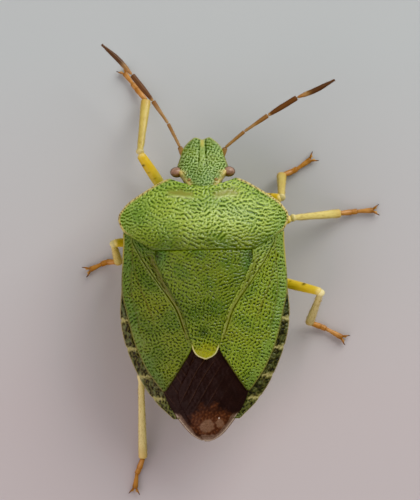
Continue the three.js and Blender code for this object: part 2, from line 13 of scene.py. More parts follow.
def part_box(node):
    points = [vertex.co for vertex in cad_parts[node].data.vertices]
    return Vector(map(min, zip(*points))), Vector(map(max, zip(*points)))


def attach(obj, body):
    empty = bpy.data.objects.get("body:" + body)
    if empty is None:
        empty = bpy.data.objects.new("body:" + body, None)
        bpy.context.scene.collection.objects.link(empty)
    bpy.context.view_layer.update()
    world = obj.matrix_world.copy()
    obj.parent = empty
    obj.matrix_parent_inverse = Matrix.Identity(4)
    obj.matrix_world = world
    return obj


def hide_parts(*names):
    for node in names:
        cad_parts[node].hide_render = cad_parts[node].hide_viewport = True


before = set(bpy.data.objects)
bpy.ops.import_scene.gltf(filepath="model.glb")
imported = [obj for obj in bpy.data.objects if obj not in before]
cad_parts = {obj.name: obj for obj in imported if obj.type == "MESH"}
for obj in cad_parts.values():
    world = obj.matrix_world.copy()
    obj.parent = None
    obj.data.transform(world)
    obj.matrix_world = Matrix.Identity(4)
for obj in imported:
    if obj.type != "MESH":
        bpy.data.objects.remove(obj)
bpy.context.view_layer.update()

bl_info = {
    "name": "Green shield bug",
    "version": (1, 0, 0),
    "blender": (4, 5, 0),
    "location": "3D View > Sidebar > Shield bug",
    "description": "Models a life-size green shield bug, its plates, wings, legs and feelers",
    "category": "Object",
}

MM = 0.001
HEAD_FRONT = 6.69
SHIELD_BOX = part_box("pronotum")
MIDDLE = (SHIELD_BOX[0].x + SHIELD_BOX[1].x) / 2
# Where the point 0, 0, 0 of the bug's own millimetres lies in the frame
PLACE = np.array([MIDDLE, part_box("head")[1].y - HEAD_FRONT * MM, 0.0])

# Outline, back and belly of the body, as in the solids: stations of (y, value) in mm
TAIL_END = -6.62
SHOULDER = 3.14
SHIELD_REAR = 1.74
SHIELD_HALF = 3.7
NECK = 4.54
NECK_DEPTH = 0.33
CORNER = 1.43
PLATE = 0.5
GAP = 0.1
RIM = 0.15
HEAD_HALF = 1.16
MARGIN = (
    (4.95, 1.3), (4.7, 1.93), (4.12, 2.86), (3.57, 3.5), (SHOULDER, SHIELD_HALF), (2.6, 3.56),
    (2.2, 3.5), (1.5, 3.54), (0, 3.62), (-1.05, 3.69), (-2.09, 3.55), (-3.14, 3.2), (-4.18, 2.7),
    (-4.97, 2.13), (-5.49, 1.6), (-5.9, 1.2), (TAIL_END, 1.0),
)
BACK = (
    (4.9, 3.95), (NECK, 4.12), (3.6, 4.65), (2.4, 4.98), (1.2, 5.02), (-1, 4.8), (-3, 4.42),
    (-4.4, 3.98), (-5.6, 3.5), (TAIL_END, 3.15),
)
MARGIN_HEIGHT = (
    (4.9, 3.4), (4.1, 3.68), (SHOULDER, 3.88), (1.5, 3.82), (0, 3.76), (-2, 3.58), (-4, 3.3),
    (-5.4, 3.1), (TAIL_END, 2.95),
)
BELLY = (
    (4.6, 1.55), (3.6, 1.2), (2, 1.12), (0.5, 1.0), (-1.5, 0.98), (-3.5, 1.3), (-5, 1.9),
    (-5.85, 2.35),
)
SCUTELLUM_EDGE = (
    (1.64, 2.02), (1.45, 2.12), (0.93, 1.92), (-0.08, 1.42), (-0.93, 0.96), (-1.7, 0.76),
    (-2.34, 0.6), (-2.7, 0.46), (-2.87, 0.28), (-2.96, 0.06),
)
WING_FOLD = (
    (2.12, 3.08), (1.35, 2.68), (0.45, 2.08), (-0.15, 1.66), (-0.8, 1.24), (-1.5, 0.98),
    (-2.1, 0.8),
)
LEATHER_EDGE = (
    (2.45, 3.5), (2.1, 3.5), (1.5, 3.54), (0, 3.6), (-0.9, 3.42), (-2.2, 3.1), (-3.35, 2.62),
    (-4.05, 2.16), (-4.38, 1.9),
)
FILM_BORDER = ((-2.1, 0.5), (-2.57, 0.62), (-3.4, 1.1), (-4.2, 1.62), (-4.38, 1.76))
FILM_OUTER = (
    (-4.3, 1.84), (-4.6, 1.74), (-5.01, 1.58), (-5.49, 1.3), (-5.85, 1.04), (-6.27, 0.68),
    (-6.52, 0.32), (TAIL_END, 0.06),
)
FILM_SEAM = (
    (-2.7, -0.5), (-3.5, -0.76), (-4.4, -1.22), (-5, -1.12), (-5.5, -0.84), (-6.1, -0.44),
    (TAIL_END, -0.1),
)
SHIELD_FRONT = (
    (CORNER, NECK + NECK_DEPTH), (1.62, 4.83), (1.95, 4.68), (2.86, 4.12), (3.3, 3.8),
    (3.55, 3.5), (3.66, 3.33), (SHIELD_HALF, SHOULDER),
)
SHIELD_HIND = (
    (2.1, SHIELD_REAR), (2.25, 1.78), (3.13, 2.34), (3.45, 2.55), (3.62, 2.82),
    (SHIELD_HALF, SHOULDER - 0.06),
)
HEAD_OUTLINE = (
    (0, HEAD_FRONT - 0.1), (0.08, HEAD_FRONT - 0.08), (0.2, HEAD_FRONT - 0.02),
    (0.32, HEAD_FRONT), (0.45, 6.62), (0.66, 6.44), (0.85, 6.19), (1.02, 5.68), (1.1, 5.45),
    (HEAD_HALF, 5.25),
)
HEAD_CHEEK = ((0.7, 4.4), (0.87, 4.77), (1.03, 4.98), (1.12, 5.08), (HEAD_HALF, 5.16))
HEAD_TOP = ((4.6, 4.0), (5.2, 3.82), (5.8, 3.4), (6.3, 2.98), (HEAD_FRONT, 2.66))
HEAD_UNDER = ((4.6, 2.0), (5.5, 2.1), (6.2, 2.22), (HEAD_FRONT, 2.3))
EYE = ((1.13, 5.15, 3.22), (0.29, 0.23, 0.3))
OCELLUS = (0.58, 4.79)

# Feelers and legs: the joints of the solids, in mm
FEELERS = {
    "left": (
        (-0.78, 5.68, 2.5), (-0.99, 6.29, 2.7), (-1.48, 7.3, 2.85), (-2.13, 8.29, 3.0),
        (-3.02, 9.44, 3.1), (-4.34, 10.79, 3.1),
    ),
    "right": (
        (0.78, 5.62, 2.5), (1.01, 6.22, 2.7), (1.85, 6.9, 2.85), (2.89, 7.58, 3.0),
        (4.17, 8.33, 3.1), (5.84, 9.09, 3.1),
    ),
}
LEGS = {
    "front_left": (
        (-0.85, 3.9, 1.42), (-1.5, 4.05, 1.1), (-2.77, 6.05, 1.7), (-2.49, 8.46, 0.45),
        (-2.91, 9.01, 0.22), (-3.08, 9.23, 0.2), (-3.43, 9.71, 0.2),
    ),
    "front_right": (
        (0.85, 3.9, 1.42), (1.5, 4.0, 1.1), (3.43, 3.96, 2.65), (3.51, 5.01, 0.45),
        (3.98, 5.18, 0.22), (4.21, 5.3, 0.2), (4.82, 5.71, 0.2),
    ),
    "middle_left": (
        (-0.95, 2.15, 1.3), (-1.65, 2.2, 1.0), (-3.96, 2.11, 2.85), (-3.83, 1.27, 0.45),
        (-4.35, 1.28, 0.22), (-4.6, 1.18, 0.2), (-5.12, 0.95, 0.2),
    ),
    "middle_right": (
        (0.95, 2.15, 1.3), (1.65, 2.2, 1.0), (3.86, 3.09, 2.05), (6.07, 3.28, 0.45),
        (6.62, 3.33, 0.22), (6.86, 3.36, 0.2), (7.58, 3.4, 0.2),
    ),
    "hind_left": (
        (-0.95, 1.1, 1.25), (-1.65, 0.75, 0.9), (-2.88, -3.7, 1.45), (-2.88, -7.5, 0.45),
        (-3.06, -7.98, 0.22), (-3.16, -8.2, 0.2), (-3.26, -8.85, 0.2),
    ),
    "hind_right": (
        (0.95, 1.1, 1.25), (1.65, 0.75, 0.9), (5.07, -0.16, 3.5), (4.65, -1.57, 0.45),
        (5.15, -1.76, 0.22), (5.38, -1.86, 0.2), (6.1, -2.26, 0.2),
    ),
}
BEAK = ((0, 6.25, 2.02), (0, 5.3, 1.66), (0, 4.55, 1.15), (0, 3.7, 0.82), (0, 1.4, 0.72))

# For each pair of legs: radius of thigh and of shin in mm, tone of the shin, gold on the thigh
LEG_LOOKS = {
    "front": (0.245, 0.2, "B9A262", 0.75),
    "middle": (0.22, 0.18, "DCCA88", 0.5),
    "hind": (0.22, 0.18, "E8D8A8", 0.5),
}
SIDES = (("left", -1), ("right", 1))

# Tones that both parts of a wing share. The gap's tone is painted shade where the clavus and corium
# meet
FOLD_EDGE = "8A8E50"
FOLD_GAP_SHADE = "463A14"
SHADED_SIDE = "2E3808"

# Sizes of the finish, in mm
EYE_LENS = 0.024
HAIR_RADIUS = 0.006
THICK_HAIR_RADIUS = 0.007
FLOOR_AIR = 0.012  # no hair ends lower than this over the floor
PLATE_WALL = 0.2  # how deep the edges of the hard plates go down
CLAVUS_WALL = 0.12
CORIUM_WALL = 0.14
FILM_THICK = 0.015
FILM_DROP = 0.06  # how far the films lie below the line of the leather
FILM_VEIN_SPACING = 0.36
LID_HEIGHT = 2.9  # the flat top of the underside, hidden by the plates of the back
COVERED = 1.45  # before this y, the shield hides the sides of the scutellum
LEATHER_END = -4.3  # behind this y, nothing but film covers the abdomen

# How the meshes and grains are made
NEAR_CORNER = 0.9995  # broad plates end just short of their corner, where they have no length
WELD_GAP = 1e-7  # in metres
SHARP_EDGE = math.radians(75)  # edges sharper than this stay sharp
STEEP = 0.92  # a limb whose tangent rises more than this is taken as upright
WALL_RELIEF = 0.6  # gives the walls of a plate their plain middle tone
GRAIN_WAVES = 48

# Lights around the middle of the view: name, place in mm, size in metres, share of the lamp's
# power and colour
LIGHTS = (
    ("window", (85, 115, 95), 0.13, 1.0, (1.0, 0.99, 0.95)),
    ("wall", (-100, -90, 110), 0.2, 0.64, (1.0, 0.82, 0.8)),
)
SKY = (0.96, 0.98, 1.0, 1)
SKY_STRENGTH = 0.4
FLOOR_SIZE = 3  # in metres, so that the floor fills every view

# The photograph's view, straight down: place over the body and height in mm, and roll
VIEW_CENTRE = (0.263, 1.739)
VIEW_HEIGHT = 120.0
VIEW_TALL = 22.4  # mm of floor that the frame's long side takes in
VIEW_ROLL = math.radians(-0.92)
SENSOR = 24  # mm, which with the height sets the focal length


def smooth(stations):
    """A function that runs smoothly through the stations and stays level past both ends."""
    at, value = np.array(sorted(stations), float).T
    slope = np.empty(len(at))
    slope[1:-1] = (value[2:] - value[:-2]) / (at[2:] - at[:-2])
    slope[0] = (value[1] - value[0]) / (at[1] - at[0])
    slope[-1] = (value[-1] - value[-2]) / (at[-1] - at[-2])

    def run(place):
        place = np.clip(place, at[0], at[-1])
        i = np.clip(np.searchsorted(at, place, side="right") - 1, 0, len(at) - 2)
        width = at[i + 1] - at[i]
        t = (place - at[i]) / width
        bend = 3 * t**2 - 2 * t**3
        enter = (t**3 - 2 * t**2 + t) * width * slope[i]
        leave = (t**3 - t**2) * width * slope[i + 1]
        return value[i] + (value[i + 1] - value[i]) * bend + enter + leave

    return run


margin, back, margin_height, belly = map(smooth, (MARGIN, BACK, MARGIN_HEIGHT, BELLY))
scutellum_edge, wing_fold, leather_edge = map(smooth, (SCUTELLUM_EDGE, WING_FOLD, LEATHER_EDGE))
film_border, film_outer, film_seam = map(smooth, (FILM_BORDER, FILM_OUTER, FILM_SEAM))
shield_front, shield_hind = smooth(SHIELD_FRONT), smooth(SHIELD_HIND)
head_outline, head_cheek = smooth(HEAD_OUTLINE), smooth(HEAD_CHEEK)
head_top, head_under = smooth(HEAD_TOP), smooth(HEAD_UNDER)


def dorsal(x, y):
    """Height of the back: a broad arch between the two margins."""
    share = np.minimum(np.abs(x) / np.maximum(margin(y), 1.7), 1.05)
    return margin_height(y) + (back(y) - margin_height(y)) * (1 - share**2.3)


def ventral(x, y):
    """Height of the underside: a keel that rises evenly to the margins."""
    share = np.minimum(np.abs(x) / np.maximum(margin(y), 1.2), 1)
    edge = margin_height(y) - PLATE - GAP - RIM
    return belly(y) + np.maximum(edge - belly(y), 0.1) * share**2


def shield_front_at(x):
    """y of the shield's front edge: a shallow bay for the head between the two corners."""
    side = np.abs(x)
    neck = NECK + NECK_DEPTH * (side / CORNER) ** 2
    return np.where(side < CORNER, neck, shield_front(side))


def ramp(value, low, high):
    """0 below low, 1 above high, and an even S between them. High may be the lower number."""
    t = np.clip((value - low) / (high - low), 0, 1)
    return t * t * (3 - 2 * t)


def bump(value, middle, width):
    """1 at middle, falling to 0 at about twice the width to either side."""
    return np.exp(-(((value - middle) / width) ** 2))


def grain(x, y, length, seed, spread=None, turn=0.0):
    """Bumps and pits about length apart, with mean 0 and deviation 1.

    Without a spread they are as a labyrinth. With one, in radians, they are drawn out into
    wrinkles along the direction turn.
    """
    rng = np.random.default_rng(seed)
    if spread is None:
        angle = rng.uniform(0, 2 * math.pi, GRAIN_WAVES)
    else:
        angle = turn + math.pi / 2 + rng.normal(0, spread, GRAIN_WAVES)
    size = 2 * math.pi / length * rng.uniform(0.72, 1.3, GRAIN_WAVES)
    phase = rng.uniform(0, 2 * math.pi, GRAIN_WAVES)
    total = np.zeros_like(x)
    for a, k, p in zip(angle, size, phase):
        total += np.cos(k * (np.cos(a) * x + np.sin(a) * y) + p)
    return total * math.sqrt(2 / GRAIN_WAVES)


def rough(x, y, length, seed, spread=None, turn=0.0):
    """The grain of punctured cuticle: bumps with finer ones among them."""
    fine = grain(x, y, 0.6 * length, seed + 1)
    return 0.85 * grain(x, y, length, seed, spread, turn) + 0.5 * fine


def level(field, ground, edge):
    """Turns a grain into relief from 0 in the pits to 1 on the ridges. The higher the ground,
    the fewer the pits, and the higher the edge, the steeper their walls."""
    return 0.5 + 0.5 * np.tanh(edge * (field + ground))


def inside(inset, full=0.1):
    """0 at the edge of a plate and 1 farther in, for pits that fade out towards the edge."""
    return ramp(inset, 0.02, full)


def ridges_of(relief):
    """1 on the ridges of a relief and 0 in its pits, for paint that keeps off the pits."""
    return ramp(relief, 0.2, 0.9)


def hex_colour(text):
    """An sRGB hex colour such as 7A8B3C as linear red, green and blue."""
    values = [int(text[i : i + 2], 16) / 255 for i in (0, 2, 4)]
    return tuple(v / 12.92 if v <= 0.04045 else ((v + 0.055) / 1.055) ** 2.4 for v in values)


def read(piece):
    """The vertices of a piece, in the frame's metres."""
    co = np.empty(len(piece.data.vertices) * 3)
    piece.data.vertices.foreach_get("co", co)
    return co.reshape(-1, 3)


def write(piece, co):
    """Moves the vertices of a piece to places in the frame's metres."""
    piece.data.vertices.foreach_set("co", np.ascontiguousarray(co, float).ravel())
    piece.data.update()


def to_frame(points):
    """Points in the bug's millimetres as metres in the frame."""
    return np.asarray(points, float) * MM + PLACE


def give(piece, name, values):
    """Stores one number for each vertex as an attribute that a material can read."""
    layer = piece.data.attributes.new(name, "FLOAT", "POINT")
    full = np.broadcast_to(np.asarray(values, float), len(piece.data.vertices))
    layer.data.foreach_set("value", np.ascontiguousarray(full, np.float32))


def paint(piece, coats):
    """Lays coats of (mask, hex colour) over one another as the attribute paint, whose alpha
    says how much of the material's own colour they hide."""
    count = len(piece.data.vertices)
    colour = np.zeros((count, 3))
    hidden = np.zeros(count)
    for mask, text in coats:
        mask = np.clip(np.broadcast_to(mask, count), 0, 1)
        hides = mask + hidden * (1 - mask)
        share = np.where(hides > 1e-6, mask / np.maximum(hides, 1e-6), 0)[:, None]
        colour = colour * (1 - share) + np.array(hex_colour(text)) * share
        hidden = hides
    layer = piece.data.attributes.new("paint", "FLOAT_COLOR", "POINT")
    layer.data.foreach_set("color", np.column_stack([colour, hidden]).astype(np.float32).ravel())


def only(piece):
    """Selects one piece alone and makes it active."""
    bpy.ops.object.select_all(action="DESELECT")
    piece.select_set(True)
    bpy.context.view_layer.objects.active = piece


def edit(piece, *steps):
    """Runs steps in edit mode on the whole of a piece."""
    only(piece)
    bpy.ops.object.mode_set(mode="EDIT")
    bpy.ops.mesh.select_all(action="SELECT")
    for step in steps:
        step()
    bpy.ops.object.mode_set(mode="OBJECT")


def outward():
    """Turns all faces to the outside."""
    bpy.ops.mesh.normals_make_consistent(inside=False)


def weld():
    """Makes vertices one that lie in the same place."""
    bpy.ops.mesh.remove_doubles(threshold=WELD_GAP)


def join(name, parts):
    """Makes several pieces one."""
    bpy.ops.object.select_all(action="DESELECT")
    for part in parts:
        part.select_set(True)
    bpy.context.view_layer.objects.active = parts[0]
    bpy.ops.object.join()
    parts[0].name = parts[0].data.name = name
    return parts[0]


def finish(piece, name, slot, *nodes):
    """Names a finished piece, shades it smooth up to its sharp edges and ties it to the frame."""
    piece.name = piece.data.name = name
    only(piece)
    bpy.ops.object.shade_smooth_by_angle(angle=SHARP_EDGE)
    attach(piece, "root")
    if nodes:
        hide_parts(*nodes)


def sheet(across, along, place):
    """A fine flat grid whose x and y are what place(u, v) gives, u and v running from 0 to 1.

    Returns the piece, x and y of its vertices in mm and how far each lies from its edge.
    """
    bpy.ops.object.select_all(action="DESELECT")
    bpy.ops.mesh.primitive_grid_add(x_subdivisions=across, y_subdivisions=along, size=1)
    piece = bpy.context.object
    flat = read(piece)[:, :2] + 0.5
    x, y = place(flat[:, 0], flat[:, 1])
    on_edge = np.flatnonzero(np.abs(flat - 0.5).max(1) > 0.4999)
    tree = kdtree.KDTree(len(on_edge))
    for i in on_edge:
        tree.insert((x[i], y[i], 0), i)
    tree.balance()
    inset = np.array([tree.find((a, b, 0))[2] for a, b in zip(x, y)])
    return piece, x, y, inset


def lift(piece, x, y, height):
    """Raises a flat sheet to its height."""
    write(piece, to_frame(np.column_stack((x, y, height))))


def rounded(inset, radius):
    """How far a rounded edge of some radius has dropped, at a distance inset from it."""
    near = np.clip(1 - inset / radius, 0, 1)
    return radius * (1 - np.sqrt(1 - near**2))


def plate(across, along, first, last, low, high):
    """A flat sheet that runs from y = first to last and reaches from x = low(y) to high(y)."""

    def place(u, v):
        y = first + (last - first) * v
        return low(y) + (high(y) - low(y)) * u, y

    return sheet(across, along, place)


def broad_plate(across, along, half, low, high):
    """A flat sheet that reaches to x = half on both sides and runs from y = low(x) to high(x).
    Its rows lie closer together towards the sides, where it curves most."""

    def place(u, v):
        x = half * np.sin(math.pi * (u - 0.5)) * NEAR_CORNER
        return x, low(x) + (high(x) - low(x)) * v

    return sheet(across, along, place)


def mirrored(sign, low, high):
    """Both limits of a plate, turned to the left side where the sign is negative."""
    if sign > 0:
        return low, high
    return (lambda y: -high(y)), (lambda y: -low(y))


def close_below(piece, depth, thin=False):
    """Closes a sheet. Its edge is walled down by depth mm and the underside filled in, or where
    thin, the underside follows the sheet. The wall fades to the material's own colour."""

    def wall():
        if not thin:
            bpy.ops.mesh.region_to_loop()
        bpy.ops.mesh.extrude_region_move(TRANSFORM_OT_translate={"value": (0, 0, -depth * MM)})
        if not thin:
            bpy.ops.mesh.edge_face_add()

    edit(piece, weld)
    above = len(piece.data.vertices)
    edit(piece, wall)
    edit(piece, outward)
    if not thin:
        for i in range(above, len(piece.data.vertices)):
            piece.data.attributes["paint"].data[i].color = (0, 0, 0, 0)
            piece.data.attributes["relief"].data[i].value = WALL_RELIEF


def unit(way):
    """A direction, or one in each row, with a length of one."""
    return way / np.linalg.norm(way, axis=-1, keepdims=True)


def axes_of(tangent):
    """Two directions across each tangent: level to its side, and the one at right angles."""
    up = np.where(np.abs(tangent[:, 2:3]) > STEEP, [[0.0, 1.0, 0.0]], [[0.0, 0.0, 1.0]])
    side = unit(np.cross(tangent, up))
    return side, np.cross(side, tangent)


def run_through(points):
    """A function that gives the place at a share of the way along a smooth line of points."""
    points = np.array(points, float)
    if len(points) == 2:
        return lambda t: points[0] + (points[1] - points[0]) * t[:, None]
    steps = np.linalg.norm(np.diff(points, axis=0), axis=1)
    share = np.concatenate([[0], np.cumsum(steps)]) / steps.sum()
    lines = [smooth(list(zip(share, points[:, k]))) for k in range(3)]
    return lambda t: np.column_stack([line(t) for line in lines])


def frames_at(points, t):
    """Places on the line of points, its direction there and the two directions across it."""
    place = run_through(points)
    tangent = unit(place(np.minimum(t + 0.01, 1)) - place(np.maximum(t - 0.01, 0)))
    return place(t), tangent, *axes_of(tangent)


def ball(round_by, rings):
    """A new sphere of radius 1, and its vertices."""
    bpy.ops.object.select_all(action="DESELECT")
    bpy.ops.mesh.primitive_uv_sphere_add(segments=round_by, ring_count=rings, radius=1)
    return bpy.context.object, read(bpy.context.object)


def limb(points, radius, round_by, rings, caps):
    """A closed limb along the points. radius(t, angle) gives its thickness at a share of its
    length, with the angle 0 at its side and a quarter turn on top. caps says how long its two
    round ends are, as shares of its greatest radius.

    Returns the piece and, for each vertex, the share of the length and the angle.
    """
    piece, round_form = ball(round_by, rings)
    polar = np.arccos(np.clip(round_form[:, 2], -1, 1)) / math.pi
    first, last = polar < 0.5 / rings, polar > 1 - 0.5 / rings
    even = np.clip((polar - 1 / rings) / (1 - 2 / rings), 0, 1)
    # The rings stand a little closer to one another at both ends
    t = 0.35 * (1 - np.cos(math.pi * even)) / 2 + 0.65 * even
    t = np.where(first, 0, np.where(last, 1, t))
    angle = np.arctan2(round_form[:, 1], round_form[:, 0])
    middle, _, side, up = frames_at(points, t)
    length = np.linalg.norm(np.diff(np.array(points, float), axis=0), axis=1).sum()
    thick = np.broadcast_to(radius(t, angle), t.shape).copy()
    widest = thick.max()
    for reach, cap in ((t * length, caps[0]), ((1 - t) * length, caps[1])):
        near = np.clip(1 - reach / (cap * widest), 0, 1)
        thick *= np.sqrt(np.clip(1 - near**2, 0, 1))
    thick[first | last] = 0
    mm = middle + (thick * np.cos(angle))[:, None] * side + (thick * np.sin(angle))[:, None] * up
    write(piece, to_frame(mm))
    edit(piece, outward)
    return piece, t, angle


def hairs(points, radius, count, long, seed, colour, lean=0.6, thick=HAIR_RADIUS, run=(0.05, 0.97)):
    """Short hairs round a limb that lean towards its far end, each a three-sided spike, as one
    mesh. long is their share of the hair length, and run the part of the limb they grow on."""
    length = looks().hair_length / MM * long
    rng = np.random.default_rng(seed)
    t = rng.uniform(*run, count)
    angle = rng.uniform(0, 2 * math.pi, count)
    middle, tangent, side, up = frames_at(points, t)
    out = np.cos(angle)[:, None] * side + np.sin(angle)[:, None] * up
    roots = middle + out * (0.9 * radius(t, angle))[:, None]
    way = unit(out * (1 - lean) + tangent * lean)
    tips = roots + way * (length * rng.uniform(0.7, 1.2, count))[:, None]
    clear = tips[:, 2] > FLOOR_AIR
    roots, tips = roots[clear], tips[clear]
    side, up = axes_of(unit(tips - roots))
    corners = [
        roots + thick * (math.cos(a) * side + math.sin(a) * up)
        for a in (0, 2 * math.pi / 3, 4 * math.pi / 3)
    ]
    vertices = np.stack([*corners, tips], axis=1).reshape(-1, 3)
    spike = np.array([(0, 1, 3), (1, 2, 3), (2, 0, 3), (2, 1, 0)])
    faces = (spike[None] + 4 * np.arange(len(roots))[:, None, None]).reshape(-1, 3)
    mesh = bpy.data.meshes.new("hairs")
    mesh.from_pydata(to_frame(vertices).tolist(), [], faces.tolist())
    piece = bpy.data.objects.new("hairs", mesh)
    bpy.context.collection.objects.link(piece)
    paint(piece, ((1.0, colour),))
    return piece


def node(tree, kind, settings=(), links=()):
    """Adds a shader node. A setting is one of the node's own values, an input by name or number,
    or the stops of a ramp as (place, colour). A link gives the socket that feeds an input."""
    added = tree.nodes.new("ShaderNode" + kind)
    for key, value in dict(settings).items():
        if key == "stops":
            line = added.color_ramp.elements
            while len(line) < len(value):
                line.new(0.5)
            for stop, (place, colour) in zip(line, value):
                stop.position = place
                stop.color = (*colour, 1)
        elif isinstance(key, str) and hasattr(added, key):
            setattr(added, key, value)
        else:
            added.inputs[key].default_value = value
    for key, socket in dict(links).items():
        tree.links.new(socket, added.inputs[key])
    return added


def material(name):
    """A new material, its node tree, its Principled shader and its place in the object's metres."""
    made = bpy.data.materials.new(name)
    made.use_nodes = True
    tree = made.node_tree
    place = node(tree, "TexCoord").outputs["Object"]
    return made, tree, tree.nodes["Principled BSDF"], place


def between(first, second, share):
    """The colour some share of the way from the first to the second."""
    return tuple(a + (b - a) * share for a, b in zip(first, second))


# Inputs by number below: Map Range reads 0 and maps 1 to 2 onto 3 to 4, and Mix goes from the
# colour 6 to the colour 7 by the share 0, with its colour as output 2


def painted(tree, own):
    """The coats painted on a piece, laid over the material's own colour."""
    coats = node(tree, "Attribute", {"attribute_name": "paint"})
    shown = node(
        tree,
        "Mix",
        {"data_type": "RGBA"},
        {0: coats.outputs["Alpha"], 6: own, 7: coats.outputs["Color"]},
    )
    return shown.outputs[2]


def fine_grain(tree, shader, place, size, detail, shine, strength, depth=0.006):
    """The finest bumps of a skin, some size in mm apart, which also vary its shine between two
    values of roughness. Returns them as a pattern for the colour."""
    fine = node(
        tree, "TexNoise", {"Scale": 1 / (size * MM), "Detail": detail}, {"Vector": place}
    ).outputs["Fac"]
    gloss = node(tree, "MapRange", {3: shine[0], 4: shine[1]}, {0: fine})
    bumps = node(tree, "Bump", {"Strength": strength, "Distance": depth * MM}, {"Height": fine})
    tree.links.new(gloss.outputs[0], shader.inputs["Roughness"])
    tree.links.new(bumps.outputs["Normal"], shader.inputs["Normal"])
    return fine


# How far from the pit's colour to the ridge's a cuticle is at each height of its relief
RIDGE_STOPS = ((0.02, 0.0), (0.35, 0.32), (0.7, 0.68), (1.0, 1.0))
CHITIN_IOR = 1.54


def cuticle(name, pit, ridge, warm, cool, roughness, patch=1.1, coat=0.0):
    """Living insect cuticle: a hard satin skin of chitin, dark in its pits and pale on the net
    of ridges between them, which drifts to warmer and cooler greens in soft patches."""
    made, tree, shader, place = material(name)
    relief = node(tree, "Attribute", {"attribute_name": "relief"})
    stops = [(at, between(pit, ridge, share)) for at, share in RIDGE_STOPS]
    net = node(tree, "ValToRGB", {"stops": stops}, {"Fac": relief.outputs["Fac"]})
    # Patches about a millimetre wide, as the pigment of the real skin varies
    drift = node(
        tree, "TexNoise", {"Scale": 1 / (patch * MM), "Detail": 1.5}, {"Vector": place}
    ).outputs["Fac"]
    green = net.outputs["Color"]
    for tone, full, most in ((warm, 0.72, 0.42), (cool, 0.3, 0.38)):
        share = node(tree, "MapRange", {1: 0.5, 2: full, 3: 0.0, 4: most}, {0: drift})
        green = node(
            tree,
            "Mix",
            {"data_type": "RGBA", "blend_type": "OVERLAY", 7: (*hex_colour(tone), 1)},
            {0: share.outputs[0], 6: green},
        ).outputs[2]
    tree.links.new(painted(tree, green), shader.inputs["Base Color"])
    # The finest grain of the skin is some 0.005 mm, and is drawn at 0.03 mm so that it shows
    fine_grain(tree, shader, place, 0.03, 2.0, (roughness - 0.08, roughness + 0.1), 0.7)
    shader.inputs["IOR"].default_value = CHITIN_IOR
    shader.inputs["Coat Weight"].default_value = coat
    shader.inputs["Coat Roughness"].default_value = 0.3
    return made


def chitin(name, colour, roughness=0.42):
    """Plain hard cuticle without pits, as on legs and feelers: a waxy satin skin whose colour
    is mottled a little darker and paler under the paint."""
    made, tree, shader, place = material(name)
    mottle = node(tree, "TexNoise", {"Scale": 1 / (0.35 * MM), "Detail": 3.0}, {"Vector": place})
    dark = between(colour, (0.05, 0.02, 0.0), 0.22)
    pale = between(colour, (1.0, 0.9, 0.6), 0.11)
    stops = ((0.3, dark), (0.7, pale))
    base = node(tree, "ValToRGB", {"stops": stops}, {"Fac": mottle.outputs["Fac"]})
    tree.links.new(painted(tree, base.outputs["Color"]), shader.inputs["Base Color"])
    # Fine rings and scratches of some 0.01 mm, drawn at 0.05 mm so that they show
    fine_grain(tree, shader, place, 0.05, 3.0, (roughness - 0.08, roughness + 0.12), 0.8)
    shader.inputs["IOR"].default_value = CHITIN_IOR
    return made


def dress(piece, made):
    """Gives a piece its one material."""
    piece.data.materials.clear()
    piece.data.materials.append(made)


def cover(piece, x, y, height, relief, coats, depth, made, thin=False):
    """Raises a flat sheet to its height, with its relief and coats of paint, closes it below and
    gives it its material."""
    lift(piece, x, y, height)
    give(piece, "relief", relief)
    paint(piece, coats)
    close_below(piece, depth, thin)
    dress(piece, made)


def a_length(name, description, default, most):
    """A length that the user may change, kept in metres and given here in mm."""
    return bpy.props.FloatProperty(
        name=name,
        description=description,
        default=default * MM,
        min=0.0,
        max=most * MM,
        precision=6,
        unit="LENGTH",
    )


def a_colour(name, description, default):
    """A colour that the user may change, from its sRGB hex value."""
    return bpy.props.FloatVectorProperty(
        name=name,
        description=description,
        subtype="COLOR",
        default=hex_colour(default),
        min=0.0,
        max=1.0,
    )


class BugLooks(bpy.types.PropertyGroup):
    """Sizes and colours of the finish that a user would change."""

    pit_spacing: a_length("Pit spacing", "Distance between neighbouring pits of the back", 0.145, 0.4)
    pit_depth: a_length("Pit depth", "Height from the floor of a pit to its ridge", 0.06, 0.12)
    mesh_step: a_length("Mesh step", "Distance between vertices on the back", 0.026, 0.2)
    hair_length: a_length("Hair length", "Length of the hairs on legs and feelers", 0.09, 0.3)
    shield_pit: a_colour("Shield pits", "Dark green in the pits of the shield and head", "3C5812")
    shield_ridge: a_colour("Shield ridges", "Pale green on their ridges", "ABC35C")
    wing_pit: a_colour("Wing pits", "Dark green in the pits of wings and scutellum", "1B2A06")
    wing_ridge: a_colour("Wing ridges", "Olive green on their ridges", "8CA03E")
    rim_pit: a_colour("Rim pits", "Brown-black in the pits of the side rims", "120E05")
    rim_ridge: a_colour("Rim ridges", "Olive on the ridges of the side rims", "66643C")
    belly_ridge: a_colour("Belly", "Pale green of the underside", "BFC88A")
    film_colour: a_colour("Membranes", "Smoky brown of the folded membranes", "2A1D1A")
    leg_colour: a_colour("Legs", "Yellow of thighs and shins", "EAD45E")
    foot_colour: a_colour("Feet", "Amber of the feet", "C08034")
    feeler_colour: a_colour("Feelers", "Ochre of the feelers", "A47A46")
    eye_colour: a_colour("Eyes", "Mauve-brown of the compound eyes", "B08C76")
    # The floor's two tones are painted light: cool by the head, warm and pinkish by the tail
    floor_head: a_colour("Floor by the head", "Cool grey of the board by the head", "BDC2C3")
    floor_tail: a_colour("Floor by the tail", "Warm grey of the board by the tail", "C3BBBC")
    lamp: bpy.props.FloatProperty(
        name="Lamp",
        description="Power of the soft main light",
        default=0.24,
        min=0.0,
        max=2.0,
        unit="POWER",
    )


def looks():
    return bpy.context.scene.shield_bug


def cells(length):
    """How many mesh steps a length in mm takes."""
    step = looks().mesh_step / MM * 1
    return max(4, int(math.ceil(length / step)))


def pits():
    """Depth and spacing of the pits, in mm."""
    return looks().pit_depth / MM, looks().pit_spacing / MM


